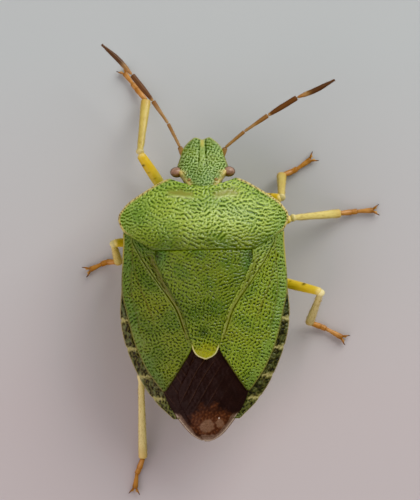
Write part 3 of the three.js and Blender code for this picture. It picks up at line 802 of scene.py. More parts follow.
class SHIELDBUG_OT_stage(bpy.types.Operator):
    """Lay the pale floor and set up the soft lights and the camera"""

    bl_idname = "shieldbug.stage"
    bl_label = "Stage"

    def execute(self, context):
        looking_at = to_frame([(*VIEW_CENTRE, 0)])[0]
        bpy.ops.object.select_all(action="DESELECT")
        bpy.ops.mesh.primitive_plane_add(size=FLOOR_SIZE, location=(looking_at[0], looking_at[1], 0))
        floor = context.object
        floor.name = "floor"
        # A matt board with painted light: cool grey by the head, running softly to a warm grey by the
        # tail
        made, tree, shader, place = material("matt_board_painted_light")
        along = node(tree, "SeparateXYZ", {}, {0: place})
        blend = node(tree, "MapRange", {1: 9 * MM, 2: -7 * MM}, {0: along.outputs["Y"]})
        tone = node(
            tree,
            "Mix",
            {"data_type": "RGBA", 6: (*looks().floor_head, 1), 7: (*looks().floor_tail, 1)},
            {0: blend.outputs[0]},
        )
        tree.links.new(tone.outputs[2], shader.inputs["Base Color"])
        shader.inputs["Roughness"].default_value = 0.7
        dress(floor, made)

        cam = bpy.data.cameras.new("view")
        camera = bpy.data.objects.new("view", cam)
        context.scene.collection.objects.link(camera)
        cam.sensor_fit = "VERTICAL"
        cam.sensor_height = cam.sensor_width = SENSOR
        cam.lens = SENSOR * VIEW_HEIGHT / VIEW_TALL
        cam.clip_start, cam.clip_end = 0.001, 5
        camera.location = looking_at + (0, 0, VIEW_HEIGHT * MM)
        camera.rotation_euler = (0, 0, VIEW_ROLL)
        context.scene.camera = camera

        for name, place, size, share, colour in LIGHTS:
            light = bpy.data.lights.new(name, "AREA")
            light.size, light.energy, light.color = size, share * looks().lamp, colour
            lamp = bpy.data.objects.new(name, light)
            lamp.location = looking_at + np.array(place) * MM
            way = Vector(looking_at) - lamp.location
            lamp.rotation_euler = way.to_track_quat("-Z", "Y").to_euler()
            context.scene.collection.objects.link(lamp)
        world = bpy.data.worlds.new("soft_room")
        world.use_nodes = True
        sky = world.node_tree.nodes["Background"]
        sky.inputs["Color"].default_value = SKY
        sky.inputs["Strength"].default_value = SKY_STRENGTH
        context.scene.world = world
        # Keeps the greens as deep as the materials give them, and only rounds off highlights
        context.scene.view_settings.view_transform = "Khronos PBR Neutral"
        return {"FINISHED"}


def green_cuticle():
    """Shield and head: fresh green cuticle with a faint waxy gloss on its wrinkles."""
    look = looks()
    return cuticle(
        "green_punctured_cuticle", look.shield_pit, look.shield_ridge, "A89E40", "6E8A58", 0.3,
        coat=0.04,
    )


def wing_cuticle():
    """Leathery wings and scutellum: olive cuticle, darker and duller, with deep pits."""
    look = looks()
    return cuticle(
        "leathery_wing_cuticle", look.wing_pit, look.wing_ridge, "A09048", "68824C", 0.33,
        coat=0.02,
    )


class SHIELDBUG_OT_shield(bpy.types.Operator):
    """Model the broad shield before the wings, wrinkled across and rimmed with yellow"""

    bl_idname = "shieldbug.shield"
    bl_label = "Shield before the wings"

    def execute(self, context):
        depth, length = pits()
        across, along = cells(2.3 * SHIELD_HALF), cells(3.2)
        piece, x, y, inset = broad_plate(
            across, along, SHIELD_HALF, lambda x: shield_hind(np.abs(x)), shield_front_at
        )
        side, sign = np.abs(x), np.sign(x)
        # Wrinkles run across the middle, rise or fall in patches, and fan out to the shoulders
        wide = 1.2 * length
        crossing = rough(x, y, wide, 11, 0.5)
        patch = grain(x, y, 1.9, 15)
        rising = rough(x, y, wide, 12, 0.45, math.radians(38))
        falling = rough(x, y, wide, 13, 0.45, math.radians(-38))
        knots = rough(x, y, length, 14)
        slant = patch + 0.8 * sign * ramp(y, 2.9, 3.6)
        up, down = ramp(slant, 0.4, 1.0), ramp(-slant, 0.4, 1.0)
        fan = ramp(side, 2.7, 3.3) * ramp(y, 2.2, 2.7)
        from_front = shield_front_at(x) - y
        front = ramp(from_front, 0.7, 0.3)
        field = crossing * (1 - up) * (1 - down) + rising * up + falling * down
        calm = np.clip(front + 0.7 * ramp(x, -0.6, -1.6) * ramp(y, 3.9, 3.5), 0, 1)
        field = field * (1 - calm) + knots * calm
        field = field * (1 - fan) + rough(x, y, length, 16, 0.3, 0.0) * fan
        # Two smoother scars lie across the shield behind the head, each with a pale hind lip
        bend = 4.12 + 0.1 * ramp(side, 0.4, 1.1)
        reach = ramp(side, 0.32, 0.55) * ramp(side, 1.7, 1.35)
        thick = 0.07 + 0.06 * bump(side, 0.9, 0.6)
        scar = reach * bump(y + 0.03 * grain(x, y, 0.5, 17), bend, thick)
        lip_line = reach * bump(y, bend - 0.15, 0.045)
        field = field * (1 - 0.9 * scar)
        relief = level(field, 0.45, 1.3)
        swell = 0.08 + 1.2 * depth * (level(field, 0.2, 0.9) - 0.6) * inside(inset, 0.12)
        bead = bump(inset, 0.09, 0.06) * ramp(y, 2.4, 2.9) * ramp(side, 1.35, 1.5)
        collar = bump(from_front, 0.12, 0.08) * ramp(side, 1.5, 1.2)
        swell += 0.05 * bead + 0.015 * collar + 0.02 * lip_line - 0.015 * scar
        neck = ramp(from_front, 0.3, 0.0) * ramp(side, 1.4, 1.1)
        height = dorsal(x, y) + swell - rounded(inset, 0.08) * (1 - 0.9 * neck)
        ridge = ridges_of(relief)
        rim = ramp(inset, 0.12, 0.06) * ramp(y, 2.3, 2.8) * ramp(side, 1.4, 1.6)
        tint = grain(x, y, 1.6, 18)
        coats = (
            # Painted shade: the shield darkens towards its hind slope
            (0.74 * ramp(y, 2.95, 1.85), "3C4A04"),
            # Painted shade: darker on the left front of the shield
            (0.15 * ramp(x, -0.8, -3.0) * ramp(y, 4.2, 3.4), "4C6212"),
            (0.25 * ramp(tint, 0.2, 1.4) * ridge, "9FAC3C"),
            (0.25 * ramp(-tint, 0.2, 1.4), "547A3A"),
            (0.35 * ramp(side, 2.6, 3.5) * ridge, "7CA468"),
            # Painted highlight: pale ridges right of the middle of the shield
            (0.5 * bump(x, 0.9, 1.7) * bump(y, 3.2, 0.7) * ridge, "CBDD8A"),
            (0.85 * scar, "8C8A44"),
            (0.6 * lip_line, "C9D28E"),
            (0.5 * reach * bump(y, bend + 0.17, 0.04), "4E5A1E"),
            (rim, "D3C272"),
            (0.9 * rim * ramp(grain(x, y, 0.13, 19), 0.2, 0.7) * ramp(inset, 0.01, 0.03), "5A3A16"),
            # Painted shade along the hind edge of the shield, where it rolls down
            (0.7 * ramp(inset, 0.07, 0.0) * ramp(y, 2.3, 1.9), "39470F"),
        )
        cover(piece, x, y, height, relief, coats, PLATE_WALL, green_cuticle())
        finish(piece, "pronotum_plate", "shield", "pronotum")
        return {"FINISHED"}


class SHIELDBUG_OT_scutellum(bpy.types.Operator):
    """Model the long triangular plate between the wings, with its yellow tip"""

    bl_idname = "shieldbug.scutellum"
    bl_label = "Scutellum"

    def execute(self, context):
        depth, length = pits()

        def half(y):
            return np.where(y > 1.6, 2.08, scutellum_edge(y) + 0.02)

        piece, x, y, inset = plate(cells(4.3), cells(4.7), -2.98, 1.86, lambda s: -half(s), half)
        share = ramp(y, -0.6, 0.8) * ramp(np.abs(x), 1.6, 1.0)
        sloping = rough(x, y, length, 23, 0.4, math.radians(25))
        field = rough(x, y, length, 21)
        field += (rough(x, y, length, 22, 0.45) - field) * 0.7 * share
        right = ramp(x, 0.35, 0.8) * ramp(y, -1.6, -0.6) * ramp(y, 1.2, 0.4)
        field += (sloping - field) * right
        relief = level(field, 0.62, 1.9)
        tip = ramp(y, -2.4, -2.75)
        rise = 0.04 + 0.05 * (1 - (x / half(y)) ** 2)
        swell = depth * (level(field, 0.45, 0.9) - 0.6) * (1 - 0.7 * tip)
        lip = 0.02 * bump(inset, 0.05, 0.04) * ramp(y, -1.8, -2.4)
        # The front edge dips under the shield
        dip = 0.1 * ramp(y, 1.66, 1.8)
        height = dorsal(x, y) + rise + swell * inside(inset) + lip - dip
        height -= rounded(inset, 0.07)
        ridge = ridges_of(relief)
        gold = ramp(y + 0.06 * grain(x, y, 0.4, 24), -2.25, -2.75)
        rim = ramp(inset, 0.075, 0.045) * ramp(y, -2.25, -2.5)
        corner = ramp(np.abs(x), 1.35, 1.9) * ramp(y, 0.5, 1.1)
        spot = bump(x, -0.06, 0.2) * bump(y, -1.78, 0.22)
        tint = grain(x, y, 1.1, 25)
        coats = (
            (0.15 + 0.2 * ramp(y, -1.7, -1.1), "2A3A06"),
            (0.25 * ramp(tint, 0.2, 1.4) * ridge, "86922A"),
            (0.3 * ramp(-tint, 0.2, 1.4), "38601F"),
            (0.38 * corner * ridge, "4A7C54"),
            (0.7 * bump(np.abs(x), 2.0, 0.12) * bump(y, 1.5, 0.2), "2E2C0C"),
            (0.8 * spot, "22350A"),
            (0.2 * ramp(y, 0.0, -1.2) * ramp(y, -2.3, -1.9), "41561A"),
            (0.45 * ramp(y, -1.95, -2.4) * ridge, "8C9424"),
            (0.7 * gold, "A8A41E"),
            (rim, "DDD79A"),
            # Painted shade: a dark line along the sides of the scutellum, in the seam beside the
            # wings
            (0.9 * ramp(inset, 0.06, 0.01) * ramp(y, -2.4, -2.0), "2A2C0A"),
        )
        cover(piece, x, y, height, relief, coats, PLATE_WALL, wing_cuticle())
        finish(piece, "scutellum_plate", "scutellum", "scutellum")
        return {"FINISHED"}


# Half-widths at which the slanting hind edge of the shield is looked up
SHIELD_SIDES = np.linspace(2.1, SHIELD_HALF, 400)


def rear_of_shield(y, under=0.1):
    """Half-width at which the hind edge of the shield crosses y. Plates run on under it."""
    hind = shield_hind(SHIELD_SIDES) + under
    return SHIELD_SIDES[np.clip(np.searchsorted(hind, y), 0, len(SHIELD_SIDES) - 1)]


def fold_inner(y):
    """Inner edge of the clavus: beside the scutellum, and on under the shield."""
    beside = scutellum_edge(np.minimum(y, COVERED)) - 0.04
    return np.where(y > SHIELD_REAR + 0.06, np.maximum(rear_of_shield(y), beside), beside)


def leather_inner(y):
    """Inner edge of the corium: along the fold of the wing, then along the membrane."""
    beside = np.maximum(wing_fold(y), np.where(y > SHIELD_REAR, rear_of_shield(y), 0))
    behind = np.maximum(film_border(y), scutellum_edge(y) - 0.04)
    share = ramp(y, -1.7, -2.2)
    return beside * (1 - share) + behind * share


def dip_under_shield(x, y):
    """How far the front end of a wing dips, where it runs on under the shield."""
    return 0.08 * ramp(y - shield_hind(np.abs(x)), 0.0, 0.1) * (y > SHIELD_REAR)


class SHIELDBUG_OT_wings(bpy.types.Operator):
    """Model the leathery parts of both fore wings: the narrow clavus and the broad corium"""

    bl_idname = "shieldbug.wings"
    bl_label = "Fore wings"

    def execute(self, context):
        leather = wing_cuticle()
        for side, sign in SIDES:
            self.clavus(side, sign, leather)
            self.corium(side, sign, leather)
        return {"FINISHED"}

    def clavus(self, side, sign, leather):
        """The strip of wing along the scutellum."""
        depth, length = pits()
        low, high = mirrored(sign, fold_inner, lambda y: wing_fold(y) + 0.005)
        piece, x, y, inset = plate(cells(0.9), cells(4.4), -2.1, 2.32, low, high)
        # A smooth roll lies along the scutellum, and the pits outside it stand in rows
        from_plate = np.abs(x) - scutellum_edge(np.minimum(y, COVERED))
        beside = ramp(y, 1.75, 1.3)
        roll = bump(from_plate, 0.13, 0.06) * beside
        groove = bump(from_plate, 0.25, 0.035) * beside
        field = rough(x, y, length, 31 + sign, 0.5, sign * math.radians(55))
        relief = level(field, 0.6, 1.7) * (1 - 0.75 * roll) + 0.75 * 0.7 * roll
        lift = 0.022 * roll + 0.02 * bump(inset, 0.05, 0.035)
        swell = depth * (relief - 0.6) * inside(inset)
        height = dorsal(x, y) + swell + lift - 0.015 * groove - dip_under_shield(x, y)
        height -= rounded(inset, 0.03)
        outer = wing_fold(y) - np.abs(x)
        coats = (
            (0.56 * (sign < 0), SHADED_SIDE),
            # Painted light: paler ridges on the right clavus
            (0.5 * (sign > 0) * relief, "A2B05A"),
            ((0.7 if sign < 0 else 0.4) * roll, "66602E"),
            # Painted shade in the groove beside the roll
            (0.6 * groove, "3E3010"),
            (0.55 * bump(outer, 0.08, 0.035), FOLD_EDGE),
            # Painted shade in the gap where the clavus meets the corium
            (0.6 * ramp(outer, 0.04, 0.0), FOLD_GAP_SHADE),
            (0.3 * ramp(y, 1.2, 2.0), "4E764A"),
        )
        cover(piece, x, y, height, relief, coats, CLAVUS_WALL, leather)
        finish(piece, f"clavus_plate_{side}", "leather", f"clavus_{side}")

    def corium(self, side, sign, leather):
        """The broad leathery part of the wing, out to the margin, with its two veins."""
        depth, length = pits()
        low, high = mirrored(sign, leather_inner, leather_edge)
        piece, x, y, inset = plate(cells(2.7), cells(7.2), -4.38, 2.5, low, high)
        out = np.abs(x)
        edge = leather_edge(y) - out
        inner = out - leather_inner(y)
        across = inner / np.maximum(leather_edge(y) - leather_inner(y), 0.05)
        # Rows of pits slant to the margin outside, and wander inside
        slanted = rough(x, y, length, 43 + sign, 0.6, sign * math.radians(-25))
        field = rough(x, y, 0.98 * length, 41 + sign)
        strip = ramp(edge + 0.1 * grain(x, y, 0.6, 47), 0.6, 0.3)
        field = field + (slanted - field) * 0.75 * strip
        outer_vein = bump(edge, 0.44, 0.03) * ramp(y, -2.8, -1.2)
        main_vein = bump(across, 0.52, 0.018) * ramp(y, -1.8, -0.6) * ramp(y, 1.7, 1.3)
        veins = np.maximum(0.6 * outer_vein, 0.8 * main_vein)
        relief = level(field, 0.72 - 0.1 * strip, 2.3) * (1 - 0.6 * veins) + 0.45 * veins
        swell = depth * (level(field, 0.5, 1.0) - 0.6) * inside(inset)
        # The strip along the margin lies like a flat lip beside its vein
        lip = 0.02 * outer_vein - 0.03 * bump(edge, 0.34, 0.06) * ramp(y, -2.8, -1.2)
        fold = 0.02 * bump(inner, 0.06, 0.04)
        height = dorsal(x, y) + swell + lip + fold + 0.01 * main_vein - dip_under_shield(x, y)
        height -= rounded(inset, 0.05)
        ridge = ridges_of(relief)
        tint = grain(x, y, 1.5, 45 + sign)
        costal = ramp(edge, 0.08, 0.04)
        border = ramp(inner, 0.16, 0.0) * ramp(y, -2.75, -3.1)
        coats = (
            (0.4 * (sign < 0), SHADED_SIDE),
            (0.25 * ramp(tint, 0.1, 1.3) * ridge, "8A8F24"),
            (0.3 * ramp(-tint, 0.1, 1.3), "345A20"),
            (0.4 * strip * ridge, "64864C" if sign < 0 else "86A45E"),
            (0.55 * veins, "5E4420"),
            (0.3 * ramp(y, -3.3, -4.3), "3E3E10"),
            (0.6 * costal * ramp(y, 1.2, 0.4), "85784A"),
            (0.85 * costal * ramp(y, 0.6, 1.4), "B8A858"),
            (0.45 * bump(inner, 0.07, 0.04) * ramp(y, -2.45, -2.3), FOLD_EDGE),
            # Painted shade in the gap where the corium meets the clavus
            (0.6 * ramp(inner, 0.03, 0.0) * ramp(y, -2.45, -2.3), FOLD_GAP_SHADE),
            (0.85 * border, "32260E"),
        )
        cover(piece, x, y, height, relief, coats, CORIUM_WALL, leather)
        finish(piece, f"corium_plate_{side}", "leather", f"corium_{side}")


def wing_film():
    """Wing membrane: a thin smoky film of chitin over the black back of the abdomen. It shows
    near black with a silky gloss, and brown and clearer where it stands free past the tail."""
    made, tree, shader, place = material("smoky_wing_membrane")
    vein = node(tree, "Attribute", {"attribute_name": "relief"})
    film = tuple(looks().film_colour)
    stops = ((0.0, film), (1.0, between(film, hex_colour("6A5244"), 0.3)))
    base = node(tree, "ValToRGB", {"stops": stops}, {"Fac": vein.outputs["Fac"]})
    # Soft darker clouds, as where the film touches the black back below it
    cloud = node(tree, "TexNoise", {"Scale": 1 / (0.4 * MM), "Detail": 4.0}, {"Vector": place})
    darker = node(tree, "MapRange", {1: 0.4, 2: 0.65, 3: 0.0, 4: 0.5}, {0: cloud.outputs["Fac"]})
    clouded = node(
        tree,
        "Mix",
        {"data_type": "RGBA", 7: (*between(film, (0, 0, 0), 0.5), 1)},
        {0: darker.outputs[0], 6: base.outputs["Color"]},
    )
    # Creases of the crumpled film, from a few hundredths of a millimetre
    fine = fine_grain(tree, shader, place, 0.05, 3.0, (0.38, 0.6), 0.6, 0.008)
    streak = node(tree, "MapRange", {1: 0.35, 2: 0.7, 3: 1.0, 4: 0.62}, {0: fine})
    creased = node(
        tree,
        "Mix",
        {"data_type": "RGBA", "blend_type": "MULTIPLY", 0: 1.0},
        {6: painted(tree, clouded.outputs[2]), 7: streak.outputs[0]},
    )
    tree.links.new(creased.outputs[2], shader.inputs["Base Color"])
    shader.inputs["IOR"].default_value = 1.45
    return made


class SHIELDBUG_OT_films(bpy.types.Operator):
    """Model the two folded wing membranes, the right one on top, with their raised veins"""

    bl_idname = "shieldbug.films"
    bl_label = "Wing membranes"

    def execute(self, context):
        made = wing_film()
        for side in ("right", "left"):
            self.film(side, made)
        return {"FINISHED"}

    def side(self, y):
        """Half-width of the films: tucked under the leather, then free round the tail."""
        return np.where(y > LEATHER_END, film_border(y) + 0.05, film_outer(y) + 0.04)

    def veins(self, x, y, sign):
        """Fine veins that leave the leather and slant over to the other side on their way back."""
        across = 0.84 * x - 0.5 * sign * (y + 0.06 * x * x) + 0.03 * grain(x, y, 2.0, 52)
        wave = np.cos(2 * math.pi * across / FILM_VEIN_SPACING)
        shown = ramp(y, -5.5, -4.2) * ramp(y, -2.8, -3.1) * ramp(x, 1.0, -0.3)
        return ramp(wave, 0.88, 1.0) * np.clip(shown + 0.15, 0, 1) * ramp(y, -5.6, -5.0)

    def coats(self, x, y):
        """Red-brown tail with two pale blotches and a painted glint; a clear rim where the film is
        single.
        """
        out = film_outer(np.maximum(y, TAIL_END + 0.02)) - np.abs(x)
        out = np.minimum(out, (y - TAIL_END) * 0.75)
        wander = 0.1 * grain(x, y, 0.6, 54) + 0.05 * grain(x, y, 0.2, 55)
        tail = ramp(np.hypot(x - 0.2, y + 6.15) + wander, 1.3, 0.75) * ramp(out, 0.12, 0.3)
        clear = ramp(out + 0.2 * wander, 0.25, 0.18) * ramp(y, -5.3, -5.55)
        big = ramp(np.hypot(x - 0.02, (y + 5.93) * 1.1) + 0.15 * wander, 0.36, 0.26)
        small = ramp(np.hypot(x - 0.56, (y + 5.83)) + 0.15 * wander, 0.23, 0.15)
        # Where a glint of light is painted on the film
        painted_glint = ramp(np.hypot(x - 0.54, y + 5.58), 0.05, 0.02)
        mottle = ramp(grain(x, y, 0.16, 57), -0.2, 1.2)
        return (
            (0.8 * tail, "54301F"),
            (0.55 * tail * mottle, "7E5640"),
            (0.8 * np.maximum(big, small), "8E705C"),
            # Painted highlight: the glint
            (0.85 * painted_glint, "E2D0C2"),
            (0.8 * clear, "8E7666"),
            (0.8 * bump(out, 0.03, 0.03) * ramp(y, -5.3, -5.5), "CDBBA6"),
            (0.5 * bump(out, 0.17, 0.025) * ramp(y, -5.4, -5.6), "4A3226"),
        )

    def film(self, side, made):
        """One film. Before the scutellum's tip, its inner edge is hidden under the scutellum."""
        upper = side == "right"
        # The lower film runs on under the upper one, and both run on under the scutellum
        over, tucked = (0.0, 0.06) if upper else (0.12, 0.12)

        def seam(y):
            hidden = ramp(y, -2.8, -2.7)
            return (film_seam(y) + over) * (1 - hidden) + (tucked - scutellum_edge(y)) * hidden

        if upper:
            limits = (TAIL_END, -2.2, seam, self.side)
        else:
            limits = (TAIL_END + 0.05, -2.2, lambda y: -self.side(y), seam)
        piece, x, y, inset = plate(cells(2.6 if upper else 1.1), cells(3.6), *limits)
        vein = self.veins(x, y, 1 if upper else -1)
        drape = 0.012 * grain(x, y, 0.7, 51) + 0.004 * grain(x, y, 0.2, 56)
        # The lower film lies just below the upper one
        sunk = 0.0 if upper else 0.024 + 0.012 * ramp(seam(y) - x, 0.2, 0.1)
        height = dorsal(x, y) - FILM_DROP - sunk + (0.03 if upper else 0.02) * vein + drape
        height -= rounded(inset, 0.012)
        cover(piece, x, y, height, vein, self.coats(x, y), FILM_THICK, made, thin=True)
        finish(piece, f"membrane_film_{side}", "film", f"membrane_{side}")


def rim_cuticle():
    """Side rim of the abdomen: olive-brown cuticle, coarsely pitted nearly black."""
    look = looks()
    return cuticle("olive_pitted_rim", look.rim_pit, look.rim_ridge, "8A7A30", "50704A", 0.42, 0.6)


# Where the pale bands cross the rim of the abdomen, at the joints of its segments
BANDS = (-1.25, -2.5, -3.72, -4.7)


def rim_inner(y):
    """Half-width of the wings, past which the side rim of the abdomen shows."""
    return np.where(y > LEATHER_END, leather_edge(y), film_outer(y))


class SHIELDBUG_OT_rims(bpy.types.Operator):
    """Model the banded side rims of the abdomen that show outside the wings"""

    bl_idname = "shieldbug.rims"
    bl_label = "Rims of the abdomen"

    def execute(self, context):
        skin = rim_cuticle()
        for side, sign in SIDES:
            self.rim(side, sign, skin)
        return {"FINISHED"}

    def rim(self, side, sign, skin):
        """One side rim, from under the wing to the outer margin."""

        def inner(y):
            return np.minimum(rim_inner(y) - 0.12, margin(y) - 0.05)

        def outer(y):
            # Each segment bulges a little between two joints
            return margin(y) - 0.035 * sum(bump(y, band, 0.07) for band in BANDS)

        low, high = mirrored(sign, inner, outer)
        piece, x, y, inset = plate(cells(0.85), cells(6.1), -5.62, 0.3, low, high)
        relief = level(rough(x, y, 0.15, 61 + sign), 0.0, 1.6)
        joint = sum(bump(y, band, 0.05) for band in BANDS)
        from_edge = outer(y) - np.abs(x)
        lip = 0.03 * bump(from_edge, 0.05, 0.04)
        under = -0.08 * ramp(from_edge, 0.25, 0.5)
        height = dorsal(x, y) - 0.06 + 0.035 * (relief - 0.5) - 0.02 * joint + lip + under
        height -= rounded(inset, 0.05)
        out = margin(y) - np.abs(x)
        # The bands widen to the outer edge
        wide = 0.045 + 0.045 * ramp(out, 0.35, 0.05)
        band = sum(bump(y + 0.02 * grain(x, y, 0.2, 63), b - 0.01, wide) for b in BANDS)
        band += 0.35 * sum(bump(y, b - 0.02, 0.14) for b in BANDS) * relief
        last = ramp(y, -4.55, -4.9) * relief
        patch = grain(x, y, 0.33, 65 + sign)
        coats = (
            (0.25 * (sign > 0), "2E3A10"),
            ((0.3 if sign < 0 else 0.8) * ramp(patch, 0.1, 0.9), "15150A"),
            ((0.6 if sign < 0 else 0.35) * ramp(-patch, 0.1, 1.0), "727A54"),
            (0.6 * last, "6E7440"),
            (0.5 * ramp(y, -1.4, -0.6) * relief, "3C5240"),
            (0.9 * np.clip(band, 0, 1) * ramp(out, 0.6, 0.4), "B4AC72"),
            (0.8 * ramp(out, 0.055, 0.02), "B0A272"),
        )
        cover(piece, x, y, height, relief, coats, PLATE_WALL, skin)
        finish(piece, f"rim_{side}", "margin", f"connexivum_{side}")


def belly_cuticle():
    """Underside: pale green cuticle, smooth and waxy, with small dark pits towards the sides."""
    return cuticle(
        "waxy_belly_cuticle", hex_colour("5C6B2C"), looks().belly_ridge, "C0AF62", "7C9A66", 0.42,
        1.6,
    )


# Joints between the segments of the belly, each as its y on the middle line
BELLY_JOINTS = (0.25, -0.75, -1.8, -2.8, -3.75, -4.6, -5.25)


class SHIELDBUG_OT_underside(bpy.types.Operator):
    """Model the soft body under the plates: three thorax rings and the segments of the belly"""

    bl_idname = "shieldbug.underside"
    bl_label = "Underside"

    def execute(self, context):
        skin = belly_cuticle()
        first, last = -5.85, 4.5
        tail = smooth(((-5.85, 0.5), (-5.7, 1.05), (-5.5, 1.42), (-5.2, 1.8), (-4.9, 2.14)))
        neck = smooth(((3.0, 3.5), (3.6, 3.2), (4.1, 2.6), (4.5, 1.75)))

        def half(y):
            inside = margin(y) - 0.06
            inside = np.where(y < -4.9, np.minimum(inside, tail(y)), inside)
            return np.where(y > 3.0, np.minimum(inside, neck(y)), inside)

        def place(u, v):
            y = first + (last - first) * v
            return half(y) * np.sin(math.pi * (u - 0.5)), y

        piece, x, y, inset = sheet(cells(4.6), cells(6.0), place)
        side = np.abs(x)
        bow = 0.12 * (side / 3.4) ** 2
        joint = sum(bump(y + bow, j, 0.035) for j in BELLY_JOINTS) * ramp(y, 0.6, 0.4)
        # Seams of the thorax: between its three rings, and beside the legs
        ring = bump(y - 0.1 * side, 2.95, 0.035) + bump(y - 0.1 * side, 1.62, 0.035)
        flank = bump(side, 1.95, 0.03) * ramp(y, 0.7, 0.9) * ramp(y, 4.2, 3.9)
        seam = np.clip(ring * ramp(side, 0.3, 0.5) + flank, 0, 1) * ramp(y, 0.6, 0.8)
        hip = sum(bump(side, 1.25, 0.5) * bump(y, at, 0.42) for at in (4.0, 2.18, 0.95))
        pitted = ramp(side, 0.9, 2.4)
        relief = 0.72 + (level(rough(x, y, 0.17, 71), 0.8, 1.6) - 0.72) * pitted
        scent = bump(side, 2.3, 0.14) * bump(y, 1.35, 0.06)
        height = ventral(x, y) - 0.03 * (relief - 0.6) + 0.05 * joint + 0.05 * seam
        height += 0.06 * np.clip(hip, 0, 1) - 0.06 * scent
        # At the neck the front wall goes up to the shield, elsewhere to the margins
        neck_wall = 0.8 * ramp(side, 2.1, 1.5) * ramp(y, 3.9, 4.3)
        roof = np.minimum(dorsal(x, y) - 0.2, margin_height(y) - 0.14 + neck_wall)
        wall = roof - ventral(x, y)
        edge_share = np.clip(1 - inset / 0.3, 0, 1)
        height += np.maximum(wall, 0) * (1 - np.sqrt(1 - edge_share**2))
        lift(piece, x, y, height)
        give(piece, "relief", relief * (1 - 0.6 * np.clip(joint + seam, 0, 1)))
        breath = sum(
            bump(side, 2.75 + 0.14 * j, 0.05) * bump(y, j - 0.45, 0.05) for j in BELLY_JOINTS[1:5]
        )
        coats = (
            (0.4 * ramp(side, 0.9, 0.2) * ramp(y, 0.4, -0.2), "C9CB94"),
            (0.5 * ramp(inset, 0.35, 0.1), "8E8A3E"),
            (np.clip(breath, 0, 1), "2A2410"),
            (0.8 * np.clip(scent, 0, 1), "6B5A2A"),
        )
        paint(piece, coats)
        self.close(piece)
        dress(piece, skin)
        finish(piece, "underside_skin", "belly", "thorax", "abdomen")
        return {"FINISHED"}

    def close(self, piece):
        """Walls the sheet up to a flat lid that the plates of the back hide."""
        lid = LID_HEIGHT * MM

        def lift_edge():
            bpy.ops.mesh.region_to_loop()
            bpy.ops.mesh.extrude_region_move(TRANSFORM_OT_translate={"value": (0, 0, 0.08 * MM)})
            middle = (PLACE[0], PLACE[1] - 0.6 * MM, lid)
            bpy.ops.transform.resize(value=(0.9, 0.94, 1), center_override=middle)
            bpy.ops.mesh.edge_face_add()

        edit(piece, weld, lift_edge)
        edit(piece, outward)


